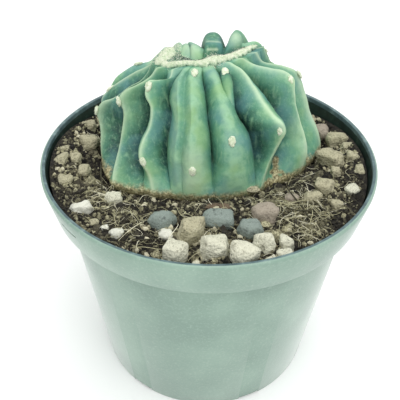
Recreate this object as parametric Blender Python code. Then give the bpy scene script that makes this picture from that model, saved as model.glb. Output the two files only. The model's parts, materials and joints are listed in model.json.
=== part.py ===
"""A crested barrel cactus in a round nursery pot, with its potting mix and loose stones.

Lengths are in millimetres and are turned to metres when a mesh is made. The origin is at the
middle of the pot's foot, +Z is up, and the plant's best side faces -Y.
"""
import itertools
import math
import random

import bmesh
import bpy
import numpy as np
from mathutils import Vector

MM = 0.001
GAP = 0.3

# Nursery pot, 12 cm across the rim
RIM_RADIUS = 60.0
POT_HEIGHT = 92.5
COLLAR_HEIGHT = 13.9
COLLAR_FOOT_RADIUS = 57.1
NECK_RADIUS = 53.1
FOOT_RADIUS = 43.3
WALL = 1.2
LIP_WIDTH = 2.0
FOOT_RING = 4.3
FLOOR_RISE = 2.0
FLOOR = 1.4
EDGE = 0.6
POT_SIDES = 48

# Drainage of the pot
DRAIN_HOLES = 8
DRAIN_RADIUS = 3.5
DRAIN_CIRCLE = 30.0
DRAIN_SIDES = 16
FOOT_NOTCHES = 6
NOTCH_WIDTH = 9.0
NOTCH_HEIGHT = 1.4
NOTCH_TURN = 25.0

# Label slot on the collar
SLOT_LENGTH = 9.0
SLOT_WIDTH = 0.7
SLOT_DEPTH = 0.6
SLOT_TURN = 221.0
SLOT_LEVEL = 86.5

# Potting mix
MIX_LEVEL = 86.0
MIX_RELIEF = 0.7
MIX_SWELL = (0.8, 0.7)
MIX_FRONT_RISE = 1.2
MIX_FOOT_DROP = 2.0
MIX_SEED = 7
MIX_RINGS = 5

# Cactus body: an inner spine to which the grooves sink, and the rows and steps of the skin
BODY_CENTRE = (0.0, 13.0)
SPINE_LEFT = (-14.0, 14.0)
SPINE_RIGHT = (17.0, 16.0)
SPINE_TOP = 104.0
SPINE_FOOT = 84.0
SPINE_DROP = 6.0
RIB_STEPS = 3
PATH_STEPS = 12
BODY_ROWS = (0.0, 0.03, 0.07, 0.12, 0.18, 0.25, 0.32, 0.39, 0.46, 0.53, 0.6, 0.68, 0.76, 0.84, 0.92, 1.0)

# Grooves: share of their depth down the body, and the most depth for their width
GROOVE_SHARE_ROWS = (0.0, 0.05, 0.16, 0.76, 0.9, 1.0)
GROOVE_SHARE = (0.1, 0.55, 1.0, 1.0, 0.5, 0.08)
GROOVE_WIDTH_SHARE = 1.25

# Grooves that run out towards the foot: where that begins, and their place and depth share at the foot
FOOT_FROM = 0.5
FOOT_GROOVES = {"narrow_front": (0.45, 0.6), "front_left": (0.55, 0.3), "front_tall": (0.82, 0.35)}

# Thumbs behind the wool: middle across, reach and share by which each is drawn in, and the rise and
# give that blunt its tip. They begin at a line behind the wool, given by its place and slope. The
# shaping eases in over lengths given for the front (and the foot), the back and the sides
THUMBS = ((0.3, 6.0, 0.36, 5.4, 1.9), (8.5, 5.0, 0.55, 8.0, 3.6))
THUMB_HALF = 4.4
THUMB_FOOT = 122.0
THUMB_FRONT = (12.6, 0.25)
THUMB_BACK = 28.0
THUMB_EASE = (2.0, 8.0, 1.5)

# Root neck under the mix: share of the body's outline at each height
NECK_ROWS = ((0.985, 83.5), (0.86, 79.0), (0.34, 73.0), (0.18, 60.0))
NECK_TIP = 56.0

# Wool along the growing line: middle of its foot, from the left end to the right end
WOOL_LINE = (
    (-13.8, 21.0, 122.2), (-15.6, 17.6, 121.4), (-17.2, 13.6, 120.6), (-15.4, 10.6, 120.8),
    (-11.6, 9.5, 121.6), (-7.9, 9.0, 122.3), (-4.2, 8.9, 122.4), (0.1, 9.4, 123.2), (3.6, 9.9, 123.6),
    (7.4, 11.2, 124.4), (11.6, 13.5, 125.1), (15.9, 16.6, 125.6),
)
WOOL_HALF_WIDTH = (1.2, 2.2, 2.2, 1.7, 1.5, 1.5, 1.2, 2.0, 1.6, 1.4, 1.5, 1.1)
WOOL_HEIGHT = 1.5
WOOL_SECTION = ((-1.0, 0.0), (-0.9, 0.55), (-0.45, 0.95), (0.0, 1.0), (0.45, 0.95), (0.9, 0.55), (1.0, 0.0))
WOOL_STATIONS = 34
WOOL_SEAT = 0.5

# Ribs in order round the growing line, counter-clockwise seen from above, from the back left.
# Each has the points of its crest from the wool down to the mix. The height of the first point
# follows from the wool. Then come the groove after the rib, as its share of the way to the next
# crest and its depth; the bend of the rib's flanks, across and out, where less than 1 is fuller;
# and the places of its areoles along the crest.
RIBS = (
    ("back_left", ((-16.8, 22.4, 0), (-19.4, 24.0, 118.6), (-23.0, 25.2, 114.8), (-28.0, 26.4, 112.9),
                   (-33.2, 27.2, 109.4), (-37.2, 27.4, 105.4), (-39.6, 27.0, 99.5), (-39.4, 26.0, 92.0),
                   (-38.6, 25.2, 86.0)),
     (0.5, 7.5), (1.1, 0.95), (0.3, 0.68)),
    ("left_far", ((-18.9, 18.7, 0), (-22.0, 19.4, 116.8), (-27.6, 19.4, 113.4), (-33.1, 19.4, 110.0),
                  (-38.0, 19.6, 105.6), (-41.0, 19.8, 101.6), (-41.2, 19.0, 96.5), (-40.2, 17.6, 91.0),
                  (-39.0, 16.0, 86.0)),
     (0.6, 9.0), (1.15, 1.0), (0.52,)),
    ("left_outer", ((-20.7, 13.4, 0), (-22.2, 12.4, 116.6), (-24.5, 11.5, 114.0), (-28.9, 10.5, 111.8),
                    (-34.8, 10.0, 107.4), (-39.2, 10.0, 106.0), (-41.4, 9.8, 102.2), (-40.4, 7.6, 98.0),
                    (-39.6, 3.4, 92.0), (-39.0, -2.4, 86.0)),
     (0.7, 15.0), (1.25, 1.0), (0.58,)),
    ("left_middle", ((-18.6, 9.0, 0), (-21.4, 8.2, 116.8), (-25.9, 7.0, 114.4), (-30.2, 6.0, 112.7),
                     (-32.1, 4.8, 110.8), (-30.8, 3.2, 106.0), (-31.0, 1.4, 101.0), (-32.0, -2.6, 95.0),
                     (-33.6, -8.6, 89.4), (-33.6, -13.0, 86.0)),
     (0.72, 16.0), (1.3, 1.0), (0.385,)),
    ("left_inner", ((-13.2, 6.6, 0), (-13.8, 4.8, 118.9), (-17.5, 4.4, 118.2), (-21.2, 2.6, 118.4),
                    (-21.9, 0.8, 114.8), (-19.9, -1.4, 110.8), (-20.4, -4.4, 105.0), (-23.2, -8.4, 99.8),
                    (-23.8, -10.8, 96.2), (-20.4, -14.0, 91.0), (-19.0, -17.4, 86.0)),
     (0.82, 13.0), (1.3, 1.0), (0.245, 0.77)),
    ("narrow_front", ((-8.8, 5.9, 0), (-10.6, 2.6, 120.4), (-11.0, -3.0, 117.0), (-10.5, -9.8, 109.2),
                      (-11.6, -13.8, 101.5), (-11.6, -16.2, 93.5), (-11.2, -18.2, 86.0)),
     (0.45, 2.2), (0.9, 0.9), ()),
    ("front_left", ((-5.0, 5.8, 0), (-5.5, 2.6, 121.0), (-5.7, -3.0, 119.4), (-5.9, -8.5, 116.6),
                    (-6.0, -14.0, 110.0), (-5.6, -17.0, 104.0), (-5.3, -18.4, 98.0), (-5.3, -18.9, 92.0),
                    (-5.2, -19.0, 86.0)),
     (0.42, 12.0), (0.85, 0.8), (0.045, 0.79)),
    ("front_tall", ((0.2, 6.2, 0), (1.3, 2.5, 122.0), (2.6, -2.5, 119.8), (4.2, -7.0, 116.8),
                    (6.0, -11.0, 112.4), (7.4, -14.2, 107.2), (8.0, -16.8, 101.4), (8.2, -18.2, 95.0),
                    (8.2, -18.0, 86.0)),
     (0.2, 14.0), (0.95, 0.85), (0.585,)),
    ("front_right", ((6.4, 7.5, 0), (10.0, 5.2, 122.6), (14.3, 1.2, 118.8), (17.8, -3.8, 114.8),
                     (21.2, -7.6, 112.2), (24.4, -10.0, 110.0), (25.2, -10.3, 107.6), (23.6, -10.2, 103.0),
                     (21.4, -10.8, 97.0), (19.6, -12.2, 91.0), (18.6, -13.4, 86.0)),
     (0.2, 15.0), (1.3, 1.0), (0.58,)),
    ("right_inner", ((10.8, 9.4, 0), (14.6, 10.6, 121.4), (20.3, 10.2, 120.4), (25.5, 9.0, 120.0),
                     (28.6, 7.5, 118.2), (29.4, 6.0, 113.5), (30.3, 5.0, 108.6), (32.2, 4.0, 103.4),
                     (34.4, 2.4, 98.0), (35.4, 0.2, 92.0), (34.4, -1.4, 86.0)),
     (0.3, 12.0), (1.25, 1.0), (0.39,)),
    ("right_outer", ((15.6, 12.8, 0), (17.8, 14.8, 121.0), (22.2, 16.8, 119.0), (27.2, 19.6, 116.6),
                    (31.2, 20.8, 114.6), (33.6, 20.8, 111.2), (35.6, 20.4, 106.0), (38.3, 19.0, 98.5),
                    (41.4, 16.4, 92.0), (43.0, 14.0, 86.0)),
     (0.4, 5.0), (1.1, 1.0), (0.44,)),
    ("right_end", ((18.6, 17.2, 0), (20.4, 20.4, 120.4), (22.6, 24.0, 115.6), (25.8, 26.4, 113.2),
                   (30.2, 28.4, 110.0), (34.6, 29.2, 105.4), (37.4, 28.8, 98.6), (38.8, 28.0, 92.0),
                   (39.0, 27.0, 86.0)),
     (0.5, 6.5), (1.0, 0.95), (0.5,)),
    ("back_right", ((17.4, 19.6, 0), (19.4, 23.0, 119.0), (23.6, 28.0, 113.8), (28.4, 33.0, 108.0),
                    (32.0, 36.0, 100.0), (33.2, 36.6, 92.6), (32.6, 35.8, 86.0)),
     (0.5, 7.0), (1.0, 0.9), (0.5,)),
    ("back_far_right", ((13.8, 17.6, 0), (14.6, 19.0, 125.4), (16.6, 21.8, 124.6), (18.0, 26.4, 121.6),
                        (20.8, 32.6, 115.0), (22.8, 38.0, 105.4), (23.4, 40.8, 95.6), (23.0, 41.0, 86.0)),
     (0.5, 5.5), (1.0, 0.85), (0.34, 0.75)),
    ("back_tall", ((7.8, 14.2, 0), (8.3, 14.6, 127.4), (8.5, 16.6, 129.8), (8.9, 21.0, 129.4),
                   (10.0, 28.0, 126.0), (11.2, 35.6, 117.0), (12.0, 41.4, 105.6), (12.2, 43.8, 95.6),
                   (12.0, 43.8, 86.0)),
     (0.5, 8.0), (0.9, 2.0), (0.45, 0.8)),
    ("back_middle", ((0.6, 12.4, 0), (0.3, 13.0, 126.0), (0.3, 15.0, 128.2), (0.3, 20.0, 128.2),
                     (0.4, 27.6, 125.4), (0.6, 35.6, 116.6), (0.8, 41.8, 105.2), (0.8, 44.4, 95.4),
                     (0.8, 44.4, 86.0)),
     (0.5, 6.5), (0.7, 1.3), (0.4, 0.76)),
    ("back_left_tall", ((-5.6, 12.0, 0), (-6.4, 15.0, 125.2), (-7.2, 20.0, 124.4), (-8.2, 28.0, 121.0),
                        (-9.2, 35.4, 113.6), (-9.8, 41.2, 103.6), (-10.0, 43.4, 94.6), (-9.8, 43.4, 86.0)),
     (0.5, 2.4), (1.1, 0.9), (0.5,)),
    ("back_left_low", ((-9.6, 14.6, 0), (-9.0, 18.6, 123.8), (-9.2, 25.0, 122.0), (-11.0, 32.0, 116.0),
                       (-13.4, 37.6, 107.4), (-15.0, 40.8, 98.0), (-15.4, 41.6, 91.0), (-15.2, 41.4, 86.0)),
     (0.5, 1.6), (1.0, 1.0), (0.6,)),
    ("back_left_inner", ((-11.9, 19.4, 0), (-11.8, 23.2, 123.0), (-13.4, 28.4, 119.6), (-17.0, 33.8, 113.0),
                         (-20.6, 37.2, 105.0), (-22.4, 38.8, 96.5), (-22.6, 38.6, 91.0), (-22.2, 38.0, 86.0)),
     (0.5, 2.6), (1.0, 1.0), (0.34, 0.72)),
    ("back_left_end", ((-15.2, 22.6, 0), (-17.6, 25.4, 119.8), (-19.4, 30.0, 115.8), (-23.6, 32.6, 109.6),
                       (-27.8, 34.4, 101.6), (-29.6, 34.8, 94.0), (-29.2, 34.0, 86.0)),
     (0.5, 5.5), (1.1, 0.9), (0.45,)),
)

# Small rib wedged in the groove between the tall front rib and the front right rib
WEDGE_RIB = ((4.2, 6.6, 119.8), (4.9, 3.4, 120.8), (5.5, 0.6, 120.2), (6.2, -2.0, 117.0), (7.2, -3.8, 113.0),
             (8.4, -4.8, 108.6))
WEDGE_RADIUS = (1.3, 1.8, 1.9, 1.6, 1.1, 0.5)
WEDGE_SIDES = 8

# Areoles: felted cushions on the crests
AREOLE_LENGTH = 3.4
AREOLE_WIDTH = 2.4
AREOLE_HEIGHT = 0.8
AREOLE_STEP = 0.03

# Loose stones: middle in plan, length, width, height, turn in degrees, kind
STONES = (
    (-45.6, 10.4, 8.2, 6.6, 6.0, 10, "tan"),
    (-53.6, -3.3, 5.2, 7.4, 5.2, 0, "tan"),
    (-48.4, -0.5, 4.4, 5.0, 4.4, 20, "tan"),
    (-44.3, -7.4, 4.4, 5.8, 4.8, 0, "tan"),
    (-53.6, 4.4, 4.4, 4.4, 4.4, 0, "tan"),
    (-42.0, -27.3, 8.8, 4.8, 4.0, 5, "white"),
    (-32.2, -22.0, 6.8, 4.4, 4.6, 0, "white"),
    (-28.8, -38.8, 5.4, 3.8, 3.2, 10, "white"),
    (-33.0, -36.5, 3.0, 2.5, 2.2, 0, "white"),
    (-14.2, -34.6, 9.6, 7.8, 7.6, 0, "grey"),
    (-11.2, -40.4, 4.8, 3.6, 4.2, 0, "white"),
    (-4.4, -42.6, 9.4, 10.0, 11.0, -10, "tan"),
    (-9.2, -51.6, 7.0, 8.2, 10.0, -15, "pale"),
    (-3.2, -54.4, 2.6, 2.6, 2.6, 0, "pale"),
    (4.2, -34.2, 12.0, 6.8, 6.4, 0, "grey"),
    (13.4, -38.8, 9.6, 6.8, 7.4, 0, "grey"),
    (18.6, -30.4, 9.8, 8.2, 8.2, 15, "pink"),
    (3.4, -47.8, 9.6, 8.2, 9.8, 10, "pale"),
    (12.0, -51.2, 9.4, 7.4, 9.0, 15, "pale"),
    (17.4, -45.4, 7.6, 5.6, 7.4, 0, "pale"),
    (23.6, -44.8, 5.4, 4.4, 6.0, 0, "pale"),
    (23.0, -50.2, 5.6, 3.8, 3.8, 20, "pale"),
    (18.4, -53.4, 4.0, 3.0, 3.4, 15, "pale"),
    (44.4, 22.5, 6.6, 8.0, 6.6, 0, "pink"),
    (50.5, 18.0, 8.4, 5.4, 5.8, 0, "tan"),
    (47.2, 6.1, 11.5, 7.6, 6.8, -40, "tan"),
    (54.2, 13.2, 5.6, 4.6, 4.6, 0, "tan"),
    (55.0, 5.6, 5.6, 4.8, 4.8, -20, "tan"),
    (54.6, -4.0, 4.2, 4.6, 4.6, 0, "tan"),
    (40.4, -13.8, 6.8, 5.6, 6.0, -10, "tan"),
    (35.3, -19.6, 7.4, 4.6, 5.4, 10, "tan"),
    (45.8, -2.4, 4.4, 4.0, 4.0, 0, "tan"),
    (4.0, -26.5, 10.5, 3.2, 2.0, 5, "bark"),
    (-48.5, 24.0, 6.5, 6.0, 5.0, 30, "tan"),
    (-41.5, 34.0, 7.5, 6.0, 5.0, 60, "pale"),
    (-31.0, 45.0, 6.5, 5.0, 4.0, 20, "tan"),
    (-13.5, 51.5, 8.0, 6.0, 5.0, -10, "tan"),
    (-2.0, 53.0, 5.0, 4.0, 3.5, 15, "grey"),
    (9.0, 52.0, 6.0, 5.0, 4.0, 15, "tan"),
    (20.0, 50.0, 7.5, 6.0, 5.0, 0, "pale"),
    (33.0, 43.5, 8.0, 6.0, 5.0, -40, "tan"),
    (43.0, 34.5, 6.0, 5.0, 4.0, 40, "tan"),
    (-50.0, -14.0, 5.0, 4.5, 4.0, 0, "tan"),
    (50.0, -15.0, 5.0, 4.5, 3.6, 25, "pale"),
    (-22.0, 50.0, 5.0, 4.5, 4.0, 0, "grey"),
    (-37.0, -34.0, 3.6, 3.0, 2.6, 30, "tan"),
    (44.0, -22.0, 4.5, 4.0, 3.4, 0, "tan"),
    (28.5, -20.0, 5.0, 4.0, 3.6, 0, "pink"),
)
STONE_CORNER = (0.46, 0.82)
BLOCK_CORNER = (0.4, 0.95)
BLOCKY_KINDS = ("pale", "tan")
STONE_FACE = (0.86, 1.0)
STONE_SLIDE = 0.42
STONE_REACH = 1.04
STONE_SINK = 0.28
STONE_SEAT = 0.45
STONE_SEED = 11
SETTLE_ROUNDS = 60
NEAR_MIX = 93.0

# Colours, seen in daylight
COLOURS = {
    "pot": ("A9C3B4", 0.45),
    "soil": ("4A4036", 0.95),
    "cactus": ("5F9C80", 0.6),
    "wool": ("E6DCC0", 0.95),
    "tan": ("CDBD9C", 0.9),
    "white": ("E6E3DA", 0.9),
    "bark": ("7A6553", 0.95),
    "grey": ("8A8D90", 0.85),
    "pale": ("DAD4C6", 0.9),
    "pink": ("C2A694", 0.9),
}


def linear(channel):
    """One sRGB channel as linear light."""
    return channel / 12.92 if channel <= 0.04045 else ((channel + 0.055) / 1.055) ** 2.4


def make_material(name):
    """A plain material of one colour."""
    code, roughness = COLOURS[name]
    rgb = [linear(int(code[i:i + 2], 16) / 255) for i in (0, 2, 4)]
    material = bpy.data.materials.new(name)
    material.use_nodes = True
    shader = material.node_tree.nodes["Principled BSDF"]
    shader.inputs["Base Color"].default_value = (*rgb, 1.0)
    shader.inputs["Roughness"].default_value = roughness
    shader.inputs["Metallic"].default_value = 0.0
    material.diffuse_color = (*rgb, 1.0)
    return material


def make_object(name, bm, material, smooth_angle=None):
    """A named object from a mesh in millimetres, with its faces pointing out."""
    bmesh.ops.recalc_face_normals(bm, faces=bm.faces)
    bmesh.ops.scale(bm, vec=(MM, MM, MM), verts=bm.verts)
    mesh = bpy.data.meshes.new(name)
    bm.to_mesh(mesh)
    bm.free()
    if smooth_angle is not None:
        mesh.shade_smooth()
        mesh.set_sharp_from_angle(angle=math.radians(smooth_angle))
    mesh.materials.append(material)
    obj = bpy.data.objects.new(name, mesh)
    bpy.context.scene.collection.objects.link(obj)
    return obj


def combine(obj, meshes, operation):
    """Cut meshes out of an object, or fuse them to it, with one Boolean on a collection."""
    group = bpy.data.collections.new(obj.name + "_tools")
    bpy.context.scene.collection.children.link(group)
    material = obj.data.materials[0]
    for number, bm in enumerate(meshes):
        tool = make_object(f"{obj.name}_tool_{number:02d}", bm, material)
        bpy.context.scene.collection.objects.unlink(tool)
        group.objects.link(tool)
    modifier = obj.modifiers.new(operation.lower(), "BOOLEAN")
    modifier.operation = operation
    modifier.solver = "EXACT"
    modifier.operand_type = "COLLECTION"
    modifier.collection = group
    evaluated = obj.evaluated_get(bpy.context.evaluated_depsgraph_get())
    result = bpy.data.meshes.new_from_object(evaluated)
    obj.modifiers.clear()
    obj.data = result
    for tool in list(group.objects):
        bpy.data.objects.remove(tool)
    bpy.data.collections.remove(group)


def keep_largest_body(obj):
    """Drop loose scraps that a cut has left."""
    bm = bmesh.new()
    bm.from_mesh(obj.data)
    left = set(bm.verts)
    bodies = []
    while left:
        body = {left.pop()}
        front = list(body)
        while front:
            vertex = front.pop()
            for edge in vertex.link_edges:
                other = edge.other_vert(vertex)
                if other in left:
                    left.remove(other)
                    body.add(other)
                    front.append(other)
        bodies.append(body)
    bodies.sort(key=len)
    scraps = [vertex for body in bodies[:-1] for vertex in body]
    bmesh.ops.delete(bm, geom=scraps, context="VERTS")
    bm.to_mesh(obj.data)
    bm.free()


def add_ring(bm, points):
    """A ring of vertices."""
    return [bm.verts.new(point) for point in points]


def join_rings(bm, lower, upper):
    """Faces between two rings with the same number of vertices."""
    count = len(lower)
    for i in range(count):
        j = (i + 1) % count
        bm.faces.new((lower[i], lower[j], upper[j], upper[i]))


def close_ring(bm, ring, tip):
    """Faces from a ring to one point."""
    point = bm.verts.new(tip)
    for i in range(len(ring)):
        bm.faces.new((ring[i], ring[(i + 1) % len(ring)], point))


def turned(profile, sides):
    """A closed turned body from a profile that starts and ends on the axis."""
    bm = bmesh.new()
    rings = []
    for radius, height in profile[1:-1]:
        angles = [2 * math.pi * i / sides for i in range(sides)]
        rings.append(add_ring(bm, [(radius * math.cos(a), radius * math.sin(a), height) for a in angles]))
    for lower, upper in zip(rings, rings[1:]):
        join_rings(bm, lower, upper)
    close_ring(bm, rings[0], (0.0, 0.0, profile[0][1]))
    close_ring(bm, rings[-1], (0.0, 0.0, profile[-1][1]))
    return bm


def block(size, centre, turn):
    """A box of the given size, turned about the pot's axis."""
    bm = bmesh.new()
    bmesh.ops.create_cube(bm, size=1.0)
    bmesh.ops.scale(bm, vec=size, verts=bm.verts)
    bmesh.ops.translate(bm, vec=centre, verts=bm.verts)
    angle = math.radians(turn)
    for vertex in bm.verts:
        x, y, z = vertex.co
        vertex.co = (x * math.cos(angle) - y * math.sin(angle), x * math.sin(angle) + y * math.cos(angle), z)
    return bm


def rod(radius, low, high, centre):
    """An upright cylinder."""
    bm = bmesh.new()
    height = high - low
    bmesh.ops.create_cone(bm, cap_ends=True, segments=DRAIN_SIDES, radius1=radius, radius2=radius,
                          depth=height)
    bmesh.ops.translate(bm, vec=(centre[0], centre[1], (low + high) / 2), verts=bm.verts)
    return bm


COLLAR_FOOT = POT_HEIGHT - COLLAR_HEIGHT
LEDGE = COLLAR_FOOT + WALL
LIP_FOOT = POT_HEIGHT - LIP_WIDTH
FLOOR_TOP = FLOOR_RISE + FLOOR


def pot_inner_radius(height):
    """Radius of the pot's inner face at a height."""
    if height >= LEDGE:
        share = (height - LEDGE) / (LIP_FOOT - LEDGE)
        return COLLAR_FOOT_RADIUS - WALL + share * (RIM_RADIUS - COLLAR_FOOT_RADIUS - EDGE)
    share = height / COLLAR_FOOT
    return FOOT_RADIUS + share * (NECK_RADIUS - FOOT_RADIUS) - WALL


def make_pot():
    """Thin moulded pot: foot ring, tapered wall, stepped collar and lip."""
    foot_inner = FOOT_RADIUS - FOOT_RING
    profile = (
        (0.0, FLOOR_RISE), (foot_inner - EDGE, FLOOR_RISE), (foot_inner, 0.0), (FOOT_RADIUS - EDGE, 0.0),
        (FOOT_RADIUS, EDGE), (NECK_RADIUS, COLLAR_FOOT), (COLLAR_FOOT_RADIUS - EDGE, COLLAR_FOOT),
        (COLLAR_FOOT_RADIUS, COLLAR_FOOT + EDGE), (RIM_RADIUS - EDGE / 4, POT_HEIGHT - 1.5 * EDGE),
        (RIM_RADIUS - EDGE / 2, POT_HEIGHT - EDGE / 3), (RIM_RADIUS - 1.5 * EDGE, POT_HEIGHT),
        (RIM_RADIUS - LIP_WIDTH + EDGE, POT_HEIGHT), (RIM_RADIUS - LIP_WIDTH, POT_HEIGHT - EDGE),
        (pot_inner_radius(LIP_FOOT), LIP_FOOT), (pot_inner_radius(LEDGE), LEDGE),
        (pot_inner_radius(COLLAR_FOOT), LEDGE - GAP), (pot_inner_radius(FLOOR_TOP) - GAP, FLOOR_TOP + WALL),
        (pot_inner_radius(FLOOR_TOP) - WALL, FLOOR_TOP), (0.0, FLOOR_TOP),
    )
    pot = make_object("pot", turned(profile, POT_SIDES), make_material("pot"), smooth_angle=35)
    cutters = []
    for number in range(FOOT_NOTCHES):
        turn = NOTCH_TURN + 360 * (number + 0.5) / FOOT_NOTCHES
        size = (3 * FOOT_RING, NOTCH_WIDTH, 2 * NOTCH_HEIGHT)
        cutters.append(block(size, (FOOT_RADIUS - FOOT_RING / 2, 0.0, 0.0), turn))
    for number in range(DRAIN_HOLES):
        angle = 2 * math.pi * number / DRAIN_HOLES
        centre = (DRAIN_CIRCLE * math.cos(angle), DRAIN_CIRCLE * math.sin(angle))
        cutters.append(rod(DRAIN_RADIUS, FLOOR_RISE - 1.0, FLOOR_TOP + 1.0, centre))
    share = (SLOT_LEVEL - COLLAR_FOOT) / COLLAR_HEIGHT
    slot_radius = COLLAR_FOOT_RADIUS + share * (RIM_RADIUS - COLLAR_FOOT_RADIUS)
    size = (2 * SLOT_DEPTH, SLOT_LENGTH, SLOT_WIDTH)
    cutters.append(block(size, (slot_radius, 0.0, SLOT_LEVEL), SLOT_TURN))
    combine(pot, cutters, "DIFFERENCE")
    return pot


def smooth_path(points, shares):
    """Points at the given shares of the length of a smooth curve through the points."""
    points = np.array(points, dtype=float)
    steps = np.linalg.norm(np.diff(points, axis=0), axis=1)
    knots = np.concatenate(([0.0], np.cumsum(steps)))
    slopes = np.gradient(points, knots, axis=0)
    fine = []
    for i, length in enumerate(steps):
        for u in np.linspace(0.0, 1.0, PATH_STEPS, endpoint=False):
            start = (1 + 2 * u) * (1 - u) ** 2
            end = u * u * (3 - 2 * u)
            leave = u * (1 - u) ** 2 * length
            arrive = u * u * (u - 1) * length
            fine.append(start * points[i] + end * points[i + 1] + leave * slopes[i] + arrive * slopes[i + 1])
    fine.append(points[-1])
    fine = np.array(fine)
    travelled = np.concatenate(([0.0], np.cumsum(np.linalg.norm(np.diff(fine, axis=0), axis=1))))
    wanted = np.array(shares) * travelled[-1]
    return np.stack([np.interp(wanted, travelled, fine[:, axis]) for axis in range(3)], axis=1)


def crest_line(points):
    """A rib's crest, with its first point in the wool's seat."""
    x, y, _ = points[0]
    wool = smooth_path(WOOL_LINE, np.linspace(0.0, 1.0, 2 * WOOL_STATIONS))
    nearest = np.argmin(np.hypot(wool[:, 0] - x, wool[:, 1] - y))
    return ((x, y, wool[nearest, 2] - WOOL_SEAT), *points[1:])


def inward(point):
    """Unit direction from a point on the body to its inner spine."""
    left = np.array(SPINE_LEFT)
    along = np.array(SPINE_RIGHT) - left
    share = np.clip(np.dot(point[:2] - left, along) / np.dot(along, along), 0.0, 1.0)
    plan = left + share * along
    height = min(max(point[2] - SPINE_DROP, SPINE_FOOT), SPINE_TOP)
    direction = np.array((plan[0], plan[1], height)) - point
    return direction / np.linalg.norm(direction)


def rib_section(left, crest, right, bend):
    """Half a blunt oval from one groove over the crest to just before the next groove."""
    chord = right - left
    foot = left + chord * (np.dot(crest - left, chord) / np.dot(chord, chord))
    points = []
    for step in range(2 * RIB_STEPS):
        angle = math.pi * step / (2 * RIB_STEPS)
        side = left if math.cos(angle) > 0 else right
        spread = abs(math.cos(angle)) ** bend[0]
        lift = math.sin(angle) ** bend[1]
        points.append(foot + (side - foot) * spread + (crest - foot) * lift)
    return points


def rib_crests(shares):
    """The crest of every rib at the given shares of its length."""
    return [smooth_path(crest_line(points), shares) for _, points, *_ in RIBS]


def shape_thumbs(points):
    """Draw the two thumbs in towards their middles, and blunt their tips."""
    x, y, z = points.T
    front = THUMB_FRONT[0] + THUMB_FRONT[1] * np.maximum(x, 0.0)
    ease_front, ease_back, ease_side = THUMB_EASE
    behind = np.clip((y - front) / ease_front, 0.0, 1.0) * np.clip((THUMB_BACK - y) / ease_back, 0.0, 1.0)
    for middle, reach, share, rise, give in THUMBS:
        apart = x - middle
        over = np.maximum(z - THUMB_FOOT, 0.0)
        near = behind * np.clip((THUMB_HALF - abs(apart)) / ease_side, 0.0, 1.0)
        z = z + near * (rise * (1.0 - np.exp(-over / give)) - over)
        low = np.clip((z - THUMB_FOOT) / ease_front + 1.0, 0.0, 1.0)
        x = x - share * behind * low * apart * np.exp(-((apart / reach) ** 2))
    return np.stack([x, y, z], axis=1)


def body_rows():
    """Rings of points down the body, from the wool's seat to the mix."""
    crests = rib_crests(BODY_ROWS)
    count = len(RIBS)
    rows = []
    for row, share in enumerate(BODY_ROWS):
        depth_share = np.interp(share, GROOVE_SHARE_ROWS, GROOVE_SHARE)
        grooves = []
        foot = min(max((share - FOOT_FROM) / (1.0 - FOOT_FROM), 0.0), 1.0)
        for i, (name, _, (across, depth), _, _) in enumerate(RIBS):
            foot_across, foot_depth = FOOT_GROOVES.get(name, (across, 1.0))
            across += foot * (foot_across - across)
            depth *= 1.0 + foot * (foot_depth - 1.0)
            here = crests[i][row]
            there = crests[(i + 1) % count][row]
            middle = here + across * (there - here)
            spacing = np.linalg.norm(there - here)
            sunk = depth * depth_share * (1.0 - math.exp(-GROOVE_WIDTH_SHARE * spacing / depth))
            grooves.append(middle + inward(middle) * sunk)
        ring = []
        for i, (_, _, _, bend, _) in enumerate(RIBS):
            ring += rib_section(grooves[i - 1], crests[i][row], grooves[i], bend)
        rows.append(shape_thumbs(np.array(ring)))
    return rows


def neck_rows(outline, gap):
    """Rings of the root neck under the mix, or of the hole round it when a gap is given."""
    centre = np.array(BODY_CENTRE)
    rows = []
    for scale, height in NECK_ROWS:
        ring = []
        for point in outline:
            arm = point[:2] - centre
            plan = centre + arm * scale + arm / np.linalg.norm(arm) * gap
            ring.append((plan[0], plan[1], height - gap))
        rows.append(ring)
    return rows


def tapered_rod(points, radii, sides):
    """A rod along a line with a radius at each point and closed, pointed ends."""
    bm = bmesh.new()
    line = np.array(points, dtype=float)
    along = np.gradient(line, axis=0)
    rings = []
    for point, direction, radius in zip(line, along, radii):
        direction = Vector(direction).normalized()
        across = direction.cross(Vector((1.0, 0.0, 0.0))).normalized()
        other = direction.cross(across)
        ring = []
        for i in range(sides):
            angle = 2 * math.pi * i / sides
            ring.append(Vector(point) + radius * (math.cos(angle) * across + math.sin(angle) * other))
        rings.append(add_ring(bm, ring))
    for lower, upper in zip(rings, rings[1:]):
        join_rings(bm, lower, upper)
    close_ring(bm, rings[0], line[0] - along[0] * 0.2)
    close_ring(bm, rings[-1], line[-1] + along[-1] * 0.2)
    return bm


def cushion(centre, along, out):
    """A low oval dome, longer along the rib."""
    bm = bmesh.new()
    bmesh.ops.create_uvsphere(bm, u_segments=6, v_segments=4, radius=0.5)
    along = Vector(along).normalized()
    out = (Vector(out) - Vector(out).dot(along) * along).normalized()
    across = out.cross(along)
    for vertex in bm.verts:
        x, y, z = vertex.co
        place = along * (x * AREOLE_LENGTH) + across * (y * AREOLE_WIDTH) + out * (z * 2 * AREOLE_HEIGHT)
        vertex.co = Vector(centre) + place
    return bm


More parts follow.
